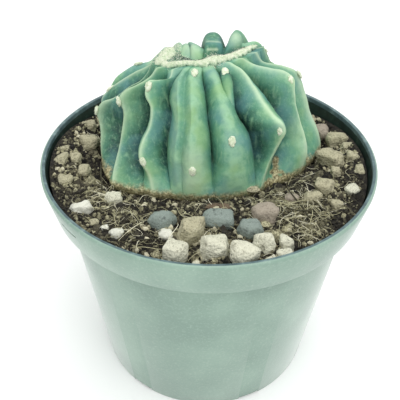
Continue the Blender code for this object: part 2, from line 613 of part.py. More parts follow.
def make_cactus():
    """The grown body with its ribs, grooves, areole cushions, wedge rib and root neck."""
    rows = body_rows()
    bm = bmesh.new()
    rings = [add_ring(bm, row) for row in rows]
    rings += [add_ring(bm, row) for row in neck_rows(rows[-1], 0.0)]
    for upper, lower in zip(rings, rings[1:]):
        join_rings(bm, lower, upper)
    seat = bm.faces.new(rings[0])
    bmesh.ops.triangulate(bm, faces=[seat], ngon_method="BEAUTY")
    close_ring(bm, rings[-1], (*BODY_CENTRE, NECK_TIP))
    bmesh.ops.triangulate(bm, faces=bm.faces)
    cactus = make_object("cactus", bm, make_material("cactus"), smooth_angle=50)
    additions = [tapered_rod(WEDGE_RIB, WEDGE_RADIUS, WEDGE_SIDES)]
    for _, points, _, _, places in RIBS:
        for place in places:
            shares = (place - AREOLE_STEP, place, place + AREOLE_STEP)
            before, here, after = smooth_path(crest_line(points), shares)
            additions.append(cushion(here, after - before, -inward(here)))
    combine(cactus, additions, "UNION")
    return rows


def make_wool():
    """The strip of cream wool along the growing line."""
    shares = np.linspace(0.0, 1.0, WOOL_STATIONS)
    line = smooth_path(WOOL_LINE, shares)
    widths = np.interp(shares, np.linspace(0.0, 1.0, len(WOOL_HALF_WIDTH)), WOOL_HALF_WIDTH)
    along = np.gradient(line[:, :2], axis=0)
    bm = bmesh.new()
    rings = []
    for share, point, direction, width in zip(shares, line, along, widths):
        across = np.array((-direction[1], direction[0], 0.0)) / np.linalg.norm(direction)
        ends = min(share, 1.0 - share) * WOOL_STATIONS / 2
        rise = WOOL_HEIGHT * min(1.0, 0.5 + ends)
        ring = [point + across * (a * width) + np.array((0.0, 0.0, h * rise)) for a, h in WOOL_SECTION]
        rings.append(add_ring(bm, ring))
    for lower, upper in zip(rings, rings[1:]):
        join_rings(bm, lower, upper)
    bm.faces.new(rings[0])
    bm.faces.new(rings[-1])
    bmesh.ops.triangulate(bm, faces=bm.faces)
    return make_object("crest_wool", bm, make_material("wool"), smooth_angle=60)


def mix_height(x, y):
    """Height of the potting mix, a little higher at the front."""
    swell = MIX_SWELL[0] * math.sin(0.09 * x + 1.0) + MIX_SWELL[1] * math.cos(0.08 * y)
    front = MIX_FRONT_RISE * min(max(-y / NECK_RADIUS, 0.0), 1.0)
    return MIX_LEVEL + swell + front


def reach(stone, angle):
    """How far a stone's oval reaches in plan in a direction."""
    _, _, length, width, _, turn, _ = stone
    angle -= math.radians(turn)
    return STONE_REACH * math.hypot(length / 2 * math.cos(angle), width / 2 * math.sin(angle))


def settle(body_points):
    """Places of the stones in plan, pushed clear of each other, the plant and the pot's wall."""
    places = [np.array(stone[:2]) for stone in STONES]
    wall = pot_inner_radius(MIX_LEVEL) - 2 * GAP
    for _ in range(SETTLE_ROUNDS):
        for i, stone in enumerate(STONES):
            for j in range(i):
                apart = places[i] - places[j]
                angle = math.atan2(apart[1], apart[0])
                lack = reach(stone, angle) + reach(STONES[j], angle) + 2 * GAP - np.linalg.norm(apart)
                if lack > 0:
                    push = apart / np.linalg.norm(apart) * lack / 2
                    places[i] = places[i] + push
                    places[j] = places[j] - push
            away = places[i] - body_points[:, :2]
            nearest = away[np.argmin(np.hypot(away[:, 0], away[:, 1]))]
            angle = math.atan2(nearest[1], nearest[0])
            lack = reach(stone, angle) + 2 * GAP - np.linalg.norm(nearest)
            if lack > 0:
                places[i] = places[i] + nearest / np.linalg.norm(nearest) * lack
            angle = math.atan2(places[i][1], places[i][0])
            over = np.linalg.norm(places[i]) + reach(stone, angle) - wall
            if over > 0:
                places[i] = places[i] - places[i] / np.linalg.norm(places[i]) * over
    return places


def stone_hull(stone, place, rng, swell):
    """A blocky broken stone: the hull of its corners and of a point on each face, swollen by a clearance."""
    _, _, length, width, height, turn, kind = stone
    extent = BLOCK_CORNER if kind in BLOCKY_KINDS else STONE_CORNER
    shares = []
    for corner in itertools.product((-1, 1), repeat=3):
        shares.append([side * rng.uniform(*extent) for side in corner])
    for axis, side in itertools.product(range(3), (-1, 1)):
        point = [rng.uniform(-STONE_SLIDE, STONE_SLIDE) for _ in range(3)]
        point[axis] = side * rng.uniform(*STONE_FACE)
        shares.append(point)
    middle = Vector((place[0], place[1], mix_height(*place) + height * (0.5 - STONE_SINK)))
    angle = math.radians(turn)
    bm = bmesh.new()
    for share in shares:
        x, y, z = (part * size / 2 for part, size in zip(share, (length, width, height)))
        turned_x = x * math.cos(angle) - y * math.sin(angle)
        turned_y = x * math.sin(angle) + y * math.cos(angle)
        arm = Vector((turned_x, turned_y, z))
        bm.verts.new(middle + arm + arm.normalized() * swell)
    hull = bmesh.ops.convex_hull(bm, input=bm.verts)
    spare = [item for item in hull["geom_interior"] if isinstance(item, bmesh.types.BMVert)]
    bmesh.ops.delete(bm, geom=spare, context="VERTS")
    return bm


def make_stones(places):
    """Each loose stone as a piece of its own."""
    materials = {kind: make_material(kind) for kind in dict.fromkeys(stone[-1] for stone in STONES)}
    for number, (stone, place) in enumerate(zip(STONES, places), start=1):
        bm = stone_hull(stone, place, random.Random(STONE_SEED + number), 0.0)
        make_object(f"stone_{number:02d}", bm, materials[stone[-1]])


def make_soil(outline, places):
    """Potting mix that fills the pot, with a plain hole for the root neck and a seat for each stone."""
    rng = random.Random(MIX_SEED)
    centre = np.array(BODY_CENTRE)
    rim = pot_inner_radius(MIX_LEVEL) - 2 * GAP
    inner = []
    outer = []
    for point in outline:
        arm = point[:2] - centre
        arm = arm / np.linalg.norm(arm)
        inner.append(point[:2] + arm * GAP)
        half = np.dot(centre, arm)
        outer.append(centre + arm * (math.sqrt(half * half - np.dot(centre, centre) + rim * rim) - half))
    bm = bmesh.new()
    rings = [add_ring(bm, row) for row in reversed(neck_rows(outline, GAP))]
    rings.append(add_ring(bm, [(x, y, MIX_LEVEL - MIX_FOOT_DROP) for x, y in inner]))
    for step in range(1, MIX_RINGS + 1):
        share = step / MIX_RINGS
        ring = []
        for start, end in zip(inner, outer):
            x, y = start + share * (end - start)
            ring.append((x, y, mix_height(x, y) + rng.uniform(-MIX_RELIEF, MIX_RELIEF)))
        rings.append(add_ring(bm, ring))
    levels = ((pot_inner_radius(LEDGE) - GAP, LEDGE + GAP), (pot_inner_radius(COLLAR_FOOT) - GAP, LEDGE),
              (pot_inner_radius(FLOOR_TOP) - 2 * GAP, FLOOR_TOP + WALL + GAP),
              (pot_inner_radius(FLOOR_TOP) - WALL - GAP, FLOOR_TOP + GAP))
    for radius, height in levels:
        rings.append(add_ring(bm, [(x * radius / rim, y * radius / rim, height) for x, y in outer]))
    for lower, upper in zip(rings, rings[1:]):
        join_rings(bm, lower, upper)
    close_ring(bm, rings[0], (*BODY_CENTRE, NECK_TIP - GAP))
    close_ring(bm, rings[-1], (0.0, 0.0, FLOOR_TOP + GAP))
    bmesh.ops.triangulate(bm, faces=bm.faces)
    soil = make_object("soil", bm, make_material("soil"), smooth_angle=30)
    seats = []
    for number, (stone, place) in enumerate(zip(STONES, places), start=1):
        seats.append(stone_hull(stone, place, random.Random(STONE_SEED + number), STONE_SEAT))
    combine(soil, seats, "DIFFERENCE")
    keep_largest_body(soil)


def clear_scene():
    """Remove what the scene holds at the start."""
    for obj in list(bpy.data.objects):
        bpy.data.objects.remove(obj)


def main():
    clear_scene()
    make_pot()
    rows = make_cactus()
    make_wool()
    low = np.array([point for row in rows for point in row if point[2] < NEAR_MIX])
    places = settle(low)
    make_stones(places)
    make_soil(rows[-1][1::2], places)


main()
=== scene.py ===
"""Potted crested barrel cactus: fine skin, crest wool, potting mix, stones and nursery pot.

Lengths in the tables are in millimetres. Meshes are made in metres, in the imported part's frame.
"""
import json
import math
import random

import bmesh
import bpy
import numpy as np
from mathutils import Matrix, Vector, noise

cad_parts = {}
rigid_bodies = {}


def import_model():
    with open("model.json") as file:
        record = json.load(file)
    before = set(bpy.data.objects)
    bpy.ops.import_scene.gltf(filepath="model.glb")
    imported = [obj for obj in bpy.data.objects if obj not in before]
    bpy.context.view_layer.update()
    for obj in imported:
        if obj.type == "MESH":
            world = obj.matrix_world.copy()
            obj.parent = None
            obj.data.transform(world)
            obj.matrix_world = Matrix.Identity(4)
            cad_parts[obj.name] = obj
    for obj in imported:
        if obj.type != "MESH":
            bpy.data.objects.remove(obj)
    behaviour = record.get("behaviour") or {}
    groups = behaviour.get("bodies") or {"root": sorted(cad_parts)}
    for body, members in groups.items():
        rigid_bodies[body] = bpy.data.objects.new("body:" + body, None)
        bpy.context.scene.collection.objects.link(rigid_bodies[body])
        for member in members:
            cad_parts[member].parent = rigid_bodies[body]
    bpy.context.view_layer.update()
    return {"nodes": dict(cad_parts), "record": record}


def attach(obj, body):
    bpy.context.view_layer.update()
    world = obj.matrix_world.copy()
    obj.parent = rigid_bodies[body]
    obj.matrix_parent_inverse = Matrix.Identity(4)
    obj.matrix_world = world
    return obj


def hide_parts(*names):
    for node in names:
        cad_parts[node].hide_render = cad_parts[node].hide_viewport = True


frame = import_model()

MM = 0.001

# Nursery pot, 12 cm across the rim
RIM_RADIUS = 60.0
POT_HEIGHT = 92.5
COLLAR_HEIGHT = 13.9
COLLAR_FOOT_RADIUS = 57.1
NECK_RADIUS = 53.1
FOOT_RADIUS = 43.3
WALL = 1.2
LIP_WIDTH = 2.0
FOOT_RING = 4.3
FLOOR_RISE = 2.0
FLOOR = 1.4
EDGE = 0.6
SHARP_TURN = 40.0
POT_SIDES = 192
DRAIN_HOLES = 8
DRAIN_RADIUS = 3.5
DRAIN_SIDES = 32
DRAIN_CIRCLE = 30.0
FOOT_NOTCHES = 6
NOTCH_WIDTH = 9.0
NOTCH_HEIGHT = 1.4
NOTCH_TURN = 25.0
SLOT_SIZE = (1.2, 9.0, 0.7)
SLOT_TURN = 221.0
SLOT_LEVEL = 86.5
COLLAR_FOOT = POT_HEIGHT - COLLAR_HEIGHT
LEDGE = COLLAR_FOOT + WALL
LIP_FOOT = POT_HEIGHT - LIP_WIDTH
FLOOR_TOP = FLOOR_RISE + FLOOR

# Potting mix: its level, the height and rate of its swells, its rise at the front, the height and size of
# each layer of its crumbs, how they fade at the wall and at the plant, how far it stays from the wall
# and how far it runs under the plant
MIX_LEVEL = 86.0
MIX_SIDES = 240
MIX_RINGS = 64
MIX_SWELL = ((0.8, 0.09, 1.0), (0.7, 0.08))
FRONT_RISE = 1.2
CRUMB_RELIEF = ((1.3, 6.0), (1.0, 2.6), (0.6, 1.2))
CRUMB_FADE = (8.0, 0.3, 6.0)
MIX_INSET = 0.35
MIX_GAP = 0.3
MIX_OVERLAP = 1.5

# Litter banked up against the wall: width of the banks, and each one's turn, spread and height
BANK_WIDTH = 11.0
BANKS = ((22.0, 38.0, 3.0), (172.0, 34.0, 3.0))

# Hollow of the mix round the plant's foot
FOOT_HOLLOW = 3.4
FOOT_HOLLOW_REACH = 7.0

# Spread of the litter: its fade at the wall, how uneven its lumps are, how thinly and thickly it lies with
# the size of its drifts, and the share of a patched kind that lies outside its patches
LITTER_FADE = 2.0
LUMP_REACH = (0.7, 1.25)
LITTER_SPREAD = (0.35, 1.3, 9.0)
PATCHED_SHARE = 0.3

# Where pumice grit and husk fibres lie thickest: middle in plan, reach and amount
GRIT_PATCHES = (
    (-3.0, -47.0, 13.0, 2.2), (38.0, 6.0, 9.0, 1.6), (-49.0, 15.0, 6.0, 3.4), (-51.5, -9.0, 4.0, 3.4),
    (46.0, 24.0, 5.0, 1.0),
)
FIBRE_PATCHES = (
    (-4.0, -45.0, 9.0, 3.0), (31.0, -26.0, 8.0, 7.0), (33.0, -38.0, 6.0, 4.0), (-36.0, -22.0, 8.0, 2.5),
    (-26.0, -36.0, 7.0, 2.0),
)

# Cactus body: its middle, the inner spine that the grooves sink towards, the steps across half of a rib,
# the rows down it, how deep the grooves are on the way down, how some change at the foot, how the ribs
# are rounded off, the swells of the skin, and the rows of the root neck
BODY_CENTRE = (0.0, 13.0)
SPINE_LEFT = (-14.0, 14.0)
SPINE_RIGHT = (17.0, 16.0)
SPINE_TOP = 104.0
SPINE_FOOT = 84.0
SPINE_DROP = 6.0
RIB_STEPS = 12
BODY_ROWS = 132
ROW_EASE = 1.15
PATH_STEPS = 24
GROOVE_SHARE_ROWS = (0.0, 0.05, 0.16, 0.76, 0.9, 1.0)
GROOVE_SHARE = (0.1, 0.55, 1.0, 1.0, 0.5, 0.08)
GROOVE_WIDTH_SHARE = 1.25
FOOT_FROM = 0.5
FOOT_GROOVES = {"narrow_front": (0.45, 0.6), "front_left": (0.55, 0.3), "front_tall": (0.82, 0.35)}
ROUNDING_PASSES = 7
ROUNDING_BAND = (0.35, 0.4)
SWELL_FROM = 84.0
SKIN_SWELLS = ((0.35, 9.0), (0.12, 3.0))
NECK_ROWS = ((0.985, 83.5), (0.86, 79.0), (0.34, 73.0), (0.18, 60.0))
NECK_TIP = 56.0

# Thumbs behind the wool: middle across, reach and share by which each is drawn in, and the rise and
# give that blunt its tip. They begin at a line behind the wool, given by its place and slope. The
# shaping eases in over lengths given for the front (and the foot), the back and the sides
THUMBS = ((0.3, 6.0, 0.36, 5.4, 1.9), (8.5, 5.0, 0.55, 8.0, 3.6))
THUMB_HALF = 4.4
THUMB_FOOT = 122.0
THUMB_FRONT = (12.6, 0.25)
THUMB_BACK = 28.0
THUMB_EASE = (2.0, 8.0, 1.5)

# Wool along the growing line: middle of its foot, and half of its width, from left to right
WOOL_LINE = (
    (-13.8, 21.0, 122.2), (-15.6, 17.6, 121.4), (-17.2, 13.6, 120.6), (-15.4, 10.6, 120.8),
    (-11.6, 9.5, 121.6), (-7.9, 9.0, 122.3), (-4.2, 8.9, 122.4), (0.1, 9.4, 123.2), (3.6, 9.9, 123.6),
    (7.4, 11.2, 124.4), (11.6, 13.5, 125.1), (15.9, 16.6, 125.6),
)
WOOL_HALF_WIDTH = (1.2, 2.2, 2.2, 1.7, 1.5, 1.5, 1.2, 2.0, 1.6, 1.4, 1.5, 1.1)
WOOL_HEIGHT = 1.5
WOOL_SEAT = 0.5
WOOL_STATIONS = 68

# Felt of the wool: its spread and its rise at each point of the line, how its ends taper, its ragged
# edge, its lumps, its section, how far the fringe of hairs reaches beyond it, and one hair
FELT_SPREAD = (2.1, 1.7, 1.3, 1.0, 0.9, 1.0, 1.9, 1.5, 1.25, 1.35, 1.2, 0.8)
FELT_RISE = (0.9, 0.7, 0.7, 0.65, 0.65, 0.55, 0.55, 1.0, 0.6, 0.55, 0.6, 0.7)
FELT_STATIONS = 220
FELT_STEPS = 16
FELT_END = (0.25, 16.0)
FELT_EDGE = 0.86
FELT_RAGS = ((0.35, 1.9), (0.4, 0.7))
FELT_LUMPS = ((0.14, 2.6), (0.06, 0.5))
FELT_SIDE_SHIFT = 9.0
FELT_ROUNDNESS = 0.7
FELT_DROOP = 0.5
FRINGE_REACH = 1.0
HAIR_LENGTH = 0.6
HAIR_RADIUS = 0.06

# Ribs in order round the growing line: crest points, groove after it (share, depth), bend of the
# flanks (across, out) and places of the areoles along the crest
RIBS = (
    ("back_left", (
        (-16.8, 22.4, 0), (-19.4, 24.0, 118.6), (-23.0, 25.2, 114.8), (-28.0, 26.4, 112.9),
        (-33.2, 27.2, 109.4), (-37.2, 27.4, 105.4), (-39.6, 27.0, 99.5), (-39.4, 26.0, 92.0),
        (-38.6, 25.2, 86.0),
    ), (0.5, 7.5), (1.1, 0.95), (0.3, 0.68)),
    ("left_far", (
        (-18.9, 18.7, 0), (-22.0, 19.4, 116.8), (-27.6, 19.4, 113.4), (-33.1, 19.4, 110.0),
        (-38.0, 19.6, 105.6), (-41.0, 19.8, 101.6), (-41.2, 19.0, 96.5), (-40.2, 17.6, 91.0),
        (-39.0, 16.0, 86.0),
    ), (0.6, 9.0), (1.15, 1.0), (0.52,)),
    ("left_outer", (
        (-20.7, 13.4, 0), (-22.2, 12.4, 116.6), (-24.5, 11.5, 114.0), (-28.9, 10.5, 111.8),
        (-34.8, 10.0, 107.4), (-39.2, 10.0, 106.0), (-41.4, 9.8, 102.2), (-40.4, 7.6, 98.0),
        (-39.6, 3.4, 92.0), (-39.0, -2.4, 86.0),
    ), (0.7, 15.0), (1.25, 1.0), (0.58,)),
    ("left_middle", (
        (-18.6, 9.0, 0), (-21.4, 8.2, 116.8), (-25.9, 7.0, 114.4), (-30.2, 6.0, 112.7), (-32.1, 4.8, 110.8),
        (-30.8, 3.2, 106.0), (-31.0, 1.4, 101.0), (-32.0, -2.6, 95.0), (-33.6, -8.6, 89.4),
        (-33.6, -13.0, 86.0),
    ), (0.72, 16.0), (1.3, 1.0), (0.385,)),
    ("left_inner", (
        (-13.2, 6.6, 0), (-13.8, 4.8, 118.9), (-17.5, 4.4, 118.2), (-21.2, 2.6, 118.4), (-21.9, 0.8, 114.8),
        (-19.9, -1.4, 110.8), (-20.4, -4.4, 105.0), (-23.2, -8.4, 99.8), (-23.8, -10.8, 96.2),
        (-20.4, -14.0, 91.0), (-19.0, -17.4, 86.0),
    ), (0.82, 13.0), (1.3, 1.0), (0.245, 0.77)),
    ("narrow_front", (
        (-8.8, 5.9, 0), (-10.6, 2.6, 120.4), (-11.0, -3.0, 117.0), (-10.5, -9.8, 109.2),
        (-11.6, -13.8, 101.5), (-11.6, -16.2, 93.5), (-11.2, -18.2, 86.0),
    ), (0.45, 2.2), (0.9, 0.9), ()),
    ("front_left", (
        (-5.0, 5.8, 0), (-5.5, 2.6, 121.0), (-5.7, -3.0, 119.4), (-5.9, -8.5, 116.6), (-6.0, -14.0, 110.0),
        (-5.6, -17.0, 104.0), (-5.3, -18.4, 98.0), (-5.3, -18.9, 92.0), (-5.2, -19.0, 86.0),
    ), (0.42, 12.0), (0.85, 0.8), (0.045, 0.79)),
    ("front_tall", (
        (0.2, 6.2, 0), (1.3, 2.5, 122.0), (2.6, -2.5, 119.8), (4.2, -7.0, 116.8), (6.0, -11.0, 112.4),
        (7.4, -14.2, 107.2), (8.0, -16.8, 101.4), (8.2, -18.2, 95.0), (8.2, -18.0, 86.0),
    ), (0.2, 14.0), (0.95, 0.85), (0.585,)),
    ("front_right", (
        (6.4, 7.5, 0), (10.0, 5.2, 122.6), (14.3, 1.2, 118.8), (17.8, -3.8, 114.8), (21.2, -7.6, 112.2),
        (24.4, -10.0, 110.0), (25.2, -10.3, 107.6), (23.6, -10.2, 103.0), (21.4, -10.8, 97.0),
        (19.6, -12.2, 91.0), (18.6, -13.4, 86.0),
    ), (0.2, 15.0), (1.3, 1.0), (0.58,)),
    ("right_inner", (
        (10.8, 9.4, 0), (14.6, 10.6, 121.4), (20.3, 10.2, 120.4), (25.5, 9.0, 120.0), (28.6, 7.5, 118.2),
        (29.4, 6.0, 113.5), (30.3, 5.0, 108.6), (32.2, 4.0, 103.4), (34.4, 2.4, 98.0), (35.4, 0.2, 92.0),
        (34.4, -1.4, 86.0),
    ), (0.3, 12.0), (1.25, 1.0), (0.39,)),
    ("right_outer", (
        (15.6, 12.8, 0), (17.8, 14.8, 121.0), (22.2, 16.8, 119.0), (27.2, 19.6, 116.6), (31.2, 20.8, 114.6),
        (33.6, 20.8, 111.2), (35.6, 20.4, 106.0), (38.3, 19.0, 98.5), (41.4, 16.4, 92.0),
        (43.0, 14.0, 86.0),
    ), (0.4, 5.0), (1.1, 1.0), (0.44,)),
    ("right_end", (
        (18.6, 17.2, 0), (20.4, 20.4, 120.4), (22.6, 24.0, 115.6), (25.8, 26.4, 113.2), (30.2, 28.4, 110.0),
        (34.6, 29.2, 105.4), (37.4, 28.8, 98.6), (38.8, 28.0, 92.0), (39.0, 27.0, 86.0),
    ), (0.5, 6.5), (1.0, 0.95), (0.5,)),
    ("back_right", (
        (17.4, 19.6, 0), (19.4, 23.0, 119.0), (23.6, 28.0, 113.8), (28.4, 33.0, 108.0), (32.0, 36.0, 100.0),
        (33.2, 36.6, 92.6), (32.6, 35.8, 86.0),
    ), (0.5, 7.0), (1.0, 0.9), (0.5,)),
    ("back_far_right", (
        (13.8, 17.6, 0), (14.6, 19.0, 125.4), (16.6, 21.8, 124.6), (18.0, 26.4, 121.6), (20.8, 32.6, 115.0),
        (22.8, 38.0, 105.4), (23.4, 40.8, 95.6), (23.0, 41.0, 86.0),
    ), (0.5, 5.5), (1.0, 0.85), (0.34, 0.75)),
    ("back_tall", (
        (7.8, 14.2, 0), (8.3, 14.6, 127.4), (8.5, 16.6, 129.8), (8.9, 21.0, 129.4), (10.0, 28.0, 126.0),
        (11.2, 35.6, 117.0), (12.0, 41.4, 105.6), (12.2, 43.8, 95.6), (12.0, 43.8, 86.0),
    ), (0.5, 8.0), (0.9, 2.0), (0.45, 0.8)),
    ("back_middle", (
        (0.6, 12.4, 0), (0.3, 13.0, 126.0), (0.3, 15.0, 128.2), (0.3, 20.0, 128.2), (0.4, 27.6, 125.4),
        (0.6, 35.6, 116.6), (0.8, 41.8, 105.2), (0.8, 44.4, 95.4), (0.8, 44.4, 86.0),
    ), (0.5, 6.5), (0.7, 1.3), (0.4, 0.76)),
    ("back_left_tall", (
        (-5.6, 12.0, 0), (-6.4, 15.0, 125.2), (-7.2, 20.0, 124.4), (-8.2, 28.0, 121.0), (-9.2, 35.4, 113.6),
        (-9.8, 41.2, 103.6), (-10.0, 43.4, 94.6), (-9.8, 43.4, 86.0),
    ), (0.5, 2.4), (1.1, 0.9), (0.5,)),
    ("back_left_low", (
        (-9.6, 14.6, 0), (-9.0, 18.6, 123.8), (-9.2, 25.0, 122.0), (-11.0, 32.0, 116.0),
        (-13.4, 37.6, 107.4), (-15.0, 40.8, 98.0), (-15.4, 41.6, 91.0), (-15.2, 41.4, 86.0),
    ), (0.5, 1.6), (1.0, 1.0), (0.6,)),
    ("back_left_inner", (
        (-11.9, 19.4, 0), (-11.8, 23.2, 123.0), (-13.4, 28.4, 119.6), (-17.0, 33.8, 113.0),
        (-20.6, 37.2, 105.0), (-22.4, 38.8, 96.5), (-22.6, 38.6, 91.0), (-22.2, 38.0, 86.0),
    ), (0.5, 2.6), (1.0, 1.0), (0.34, 0.72)),
    ("back_left_end", (
        (-15.2, 22.6, 0), (-17.6, 25.4, 119.8), (-19.4, 30.0, 115.8), (-23.6, 32.6, 109.6),
        (-27.8, 34.4, 101.6), (-29.6, 34.8, 94.0), (-29.2, 34.0, 86.0),
    ), (0.5, 5.5), (1.1, 0.9), (0.45,)),
)

# How much each rib's crest is rounded off, and the lobes whose grooves are only creases near the top
ROUND_CRESTS = {"narrow_front": 1.0, "front_left": 1.0, "front_tall": 1.0, "back_middle": 0.5, "back_tall": 1.0}
OTHER_CRESTS = 0.22
CREASED_LOBES = ("back_left_tall", "back_left_low", "back_left_inner")
CREASED_SHARE = 0.34

# Painted light and shade on the ribs: how narrow the painted light on the crest of each sharp rib is, how much
# of that painted light each rib in more shade keeps, the groove depth at which a groove's painted shade is full
# and the least share of that shade, and how narrow and how strong the pale line on the sharp edges is, a painted
# highlight partly of worn bloom
CREST_SHARPNESS = {"left_far": 4.5, "left_outer": 6.0, "left_middle": 4.5, "left_inner": 2.4, "front_right": 4.0,
                   "right_inner": 1.5, "right_outer": 2.0, "right_end": 2.4}
RIB_CREST_LIGHT_SHARES = {"left_far": 0.42, "left_outer": 0.36, "left_middle": 0.62, "right_end": 0.6,
                "right_outer": 0.85, "back_middle": 0.34, "back_tall": 0.75}
PLAIN_CREST = 1.5
FULL_GROOVE_SHADE_DEPTH = 7.0
FAINTEST_GROOVE_SHADE = 0.2
WORN_HIGHLIT_EDGE = 40.0
EDGE_HIGHLIGHT_AND_WEAR = 0.65

# Small rib wedged between two front ribs
WEDGE_RIB = ((4.2, 6.6, 119.8), (4.9, 3.4, 120.8), (5.5, 0.6, 120.2), (6.2, -2.0, 117.0), (7.2, -3.8, 113.0),
             (8.4, -4.8, 108.6))
WEDGE_RADIUS = (1.3, 1.8, 1.9, 1.6, 1.1, 0.5)
WEDGE_SIDES = 24
WEDGE_STATIONS = 40

# Long straws on the mix: taper and sides, then places in plan with their rise above it, and radius
STRAW_TAPER = (0.5, 1.0, 1.0, 0.6)
STRAW_SIDES = 6
STRAW_STEPS = 24
STRAWS = (
    (((-39.2, -2.0, 1.6), (-38.2, -9.0, 1.2), (-37.0, -15.0, 1.0), (-36.6, -20.5, 0.8)), 0.3),
    (((27.0, -17.5, 3.2), (29.5, -22.0, 2.6), (32.5, -28.0, 1.8), (34.0, -33.0, 0.9)), 0.3),
    (((28.5, -14.5, 3.0), (34.0, -19.5, 2.4), (39.0, -26.0, 1.4), (42.0, -29.5, 0.8)), 0.25),
    (((24.5, -24.0, 1.2), (29.0, -27.5, 2.2), (33.5, -27.5, 2.2), (38.5, -31.5, 1.0)), 0.22),
    (((-24.0, -41.5, 0.8), (-20.0, -43.0, 1.6), (-15.5, -42.5, 1.4), (-12.5, -45.5, 0.7)), 0.22),
)

# Flake of cork at the plant's foot: place, size, height and rate of its lumps, and its lean
FLAKE_PLACE = (15.2, -15.2, 87.0)
FLAKE_SIZE = (5.6, 2.6, 2.4)
FLAKE_LUMPS = ((0.35, 2.2), (0.12, 7.0))
FLAKE_LEAN = 0.2

# Areoles: size of the cushions, how far along the crest their lie is taken, how deep they sit, how they
# taper, the height, rate and shift of their lumps, and how far some are shifted. The last one lies at
# the tip of the wedge rib: its shift, and the directions along and out of it
AREOLE_LENGTH = 3.6
AREOLE_WIDTH = 2.3
AREOLE_HEIGHT = 0.7
AREOLE_SPAN = 0.03
AREOLE_SINK = 0.1
AREOLE_TAPER = 0.5
AREOLE_LUMPS = (0.3, 4.0, 5.0)
AREOLE_SHIFT = {"front_right": (-1.5, 0.2, 0.0), "left_inner": (0.8, -0.3, 0.0), "right_inner": (-1.2, 0.0, 0.3)}
WEDGE_AREOLE = ((0.0, -1.2, 1.6), (0.0, -0.8, -0.6), (0.1, -0.6, 0.8))

# Corky scars near the mix, and painted highlights on lit tops and crests: start, end, reach and strength
CORK_SPOTS = (
    ((23.9, -3.4, 91.8), (23.9, -8.0, 87.5), 2.0, 1.1), ((20.6, -11.0, 86.0), (29.0, -6.5, 86.0), 3.4, 1.0),
    ((22.8, -6.8, 88.6), (25.4, -6.8, 88.6), 2.0, 1.0),
    ((33.0, 0.0, 87.0), (38.0, 8.0, 86.5), 2.4, 0.9), ((-39.5, 1.5, 86.5), (-36.0, -6.0, 86.0), 4.5, 0.9),
)
PAINTED_HIGHLIGHT_SPOTS = (
    ((-3.0, 16.0, 127.8), (3.4, 16.0, 127.8), 1.2, 0.8), ((8.5, 15.6, 129.0), (8.5, 17.0, 129.0), 4.5, 0.6),
    ((-1.0, 13.0, 125.5), (2.0, 13.2, 125.5), 0.7, 1.0), ((32.0, 6.0, 101.0), (33.0, 5.0, 96.0), 7.0, 0.45),
    ((-5.5, -18.0, 100.0), (-5.5, -19.0, 91.0), 7.0, 0.5),
    ((-19.0, 24.0, 121.0), (-22.0, 22.0, 117.0), 5.0, 0.5),
    ((-7.0, 15.0, 125.0), (-11.0, 20.0, 124.0), 5.0, 0.5), ((23.5, -9.0, 96.0), (24.5, -7.5, 92.0), 3.6, 0.6),
)

# Colours from dark to light
# The skin's colours, from the painted shade of the deepest grooves to the painted light of the crests
SKIN_SHADE_TO_LIGHT_STOPS = ((0.0, "254B43"), (0.12, "34624F"), (0.4, "4A8068"), (0.78, "63977A"), (1.0, "8BB592"))
CORK_STOPS = ((0.3, "48412E"), (0.45, "7C7452"), (0.58, "A59D76"), (0.72, "CFC9A8"))
FELT_STOPS = ((0.3, "A0B58F"), (0.44, "C0CFB0"), (0.6, "DADFC9"), (0.75, "ECEADC"))
HAIR_STOPS = ((0.3, "CCD6BA"), (0.5, "E2E6D2"), (0.7, "F2F0E4"))
AREOLE_STOPS = ((0.3, "A3B491"), (0.46, "CBD6B8"), (0.65, "E6EAD9"))
PEAT_AND_SHADE_STOPS = ((0.32, "0C0A08"), (0.5, "1F1C16"), (0.66, "444032"), (0.8, "7A7560"))
CRUMB_STOPS = ((0.0, "0C0B08"), (0.5, "1E1B15"), (0.8, "444032"), (0.95, "7C785F"), (1.0, "B1AD8D"))
GRIT_STOPS = ((0.0, "6B664F"), (0.5, "A09A7D"), (1.0, "CFCAB0"))
FIBRE_STOPS = ((0.0, "393727"), (0.45, "807A5B"), (0.8, "BFBB96"), (1.0, "EAE6CF"))
POT_STOPS = ((0.35, "758F82"), (0.55, "7F998B"), (0.7, "89A394"))
INNER_WALL_SHADE_STOPS = ((0.3, "0F1B17"), (0.55, "1D322A"), (0.78, "3A4C41"))
LIP_STOPS = ((0.3, "394D51"), (0.55, "52696C"), (0.75, "7A908F"))

# Finishes of the litter, with their colours and slots
LITTER_FINISHES = {
    "broken_peat": (CRUMB_STOPS, "potting_mix"), "broken_pumice": (GRIT_STOPS, "stone_tan"),
    "husk_fibre": (FIBRE_STOPS, "potting_mix"),
}

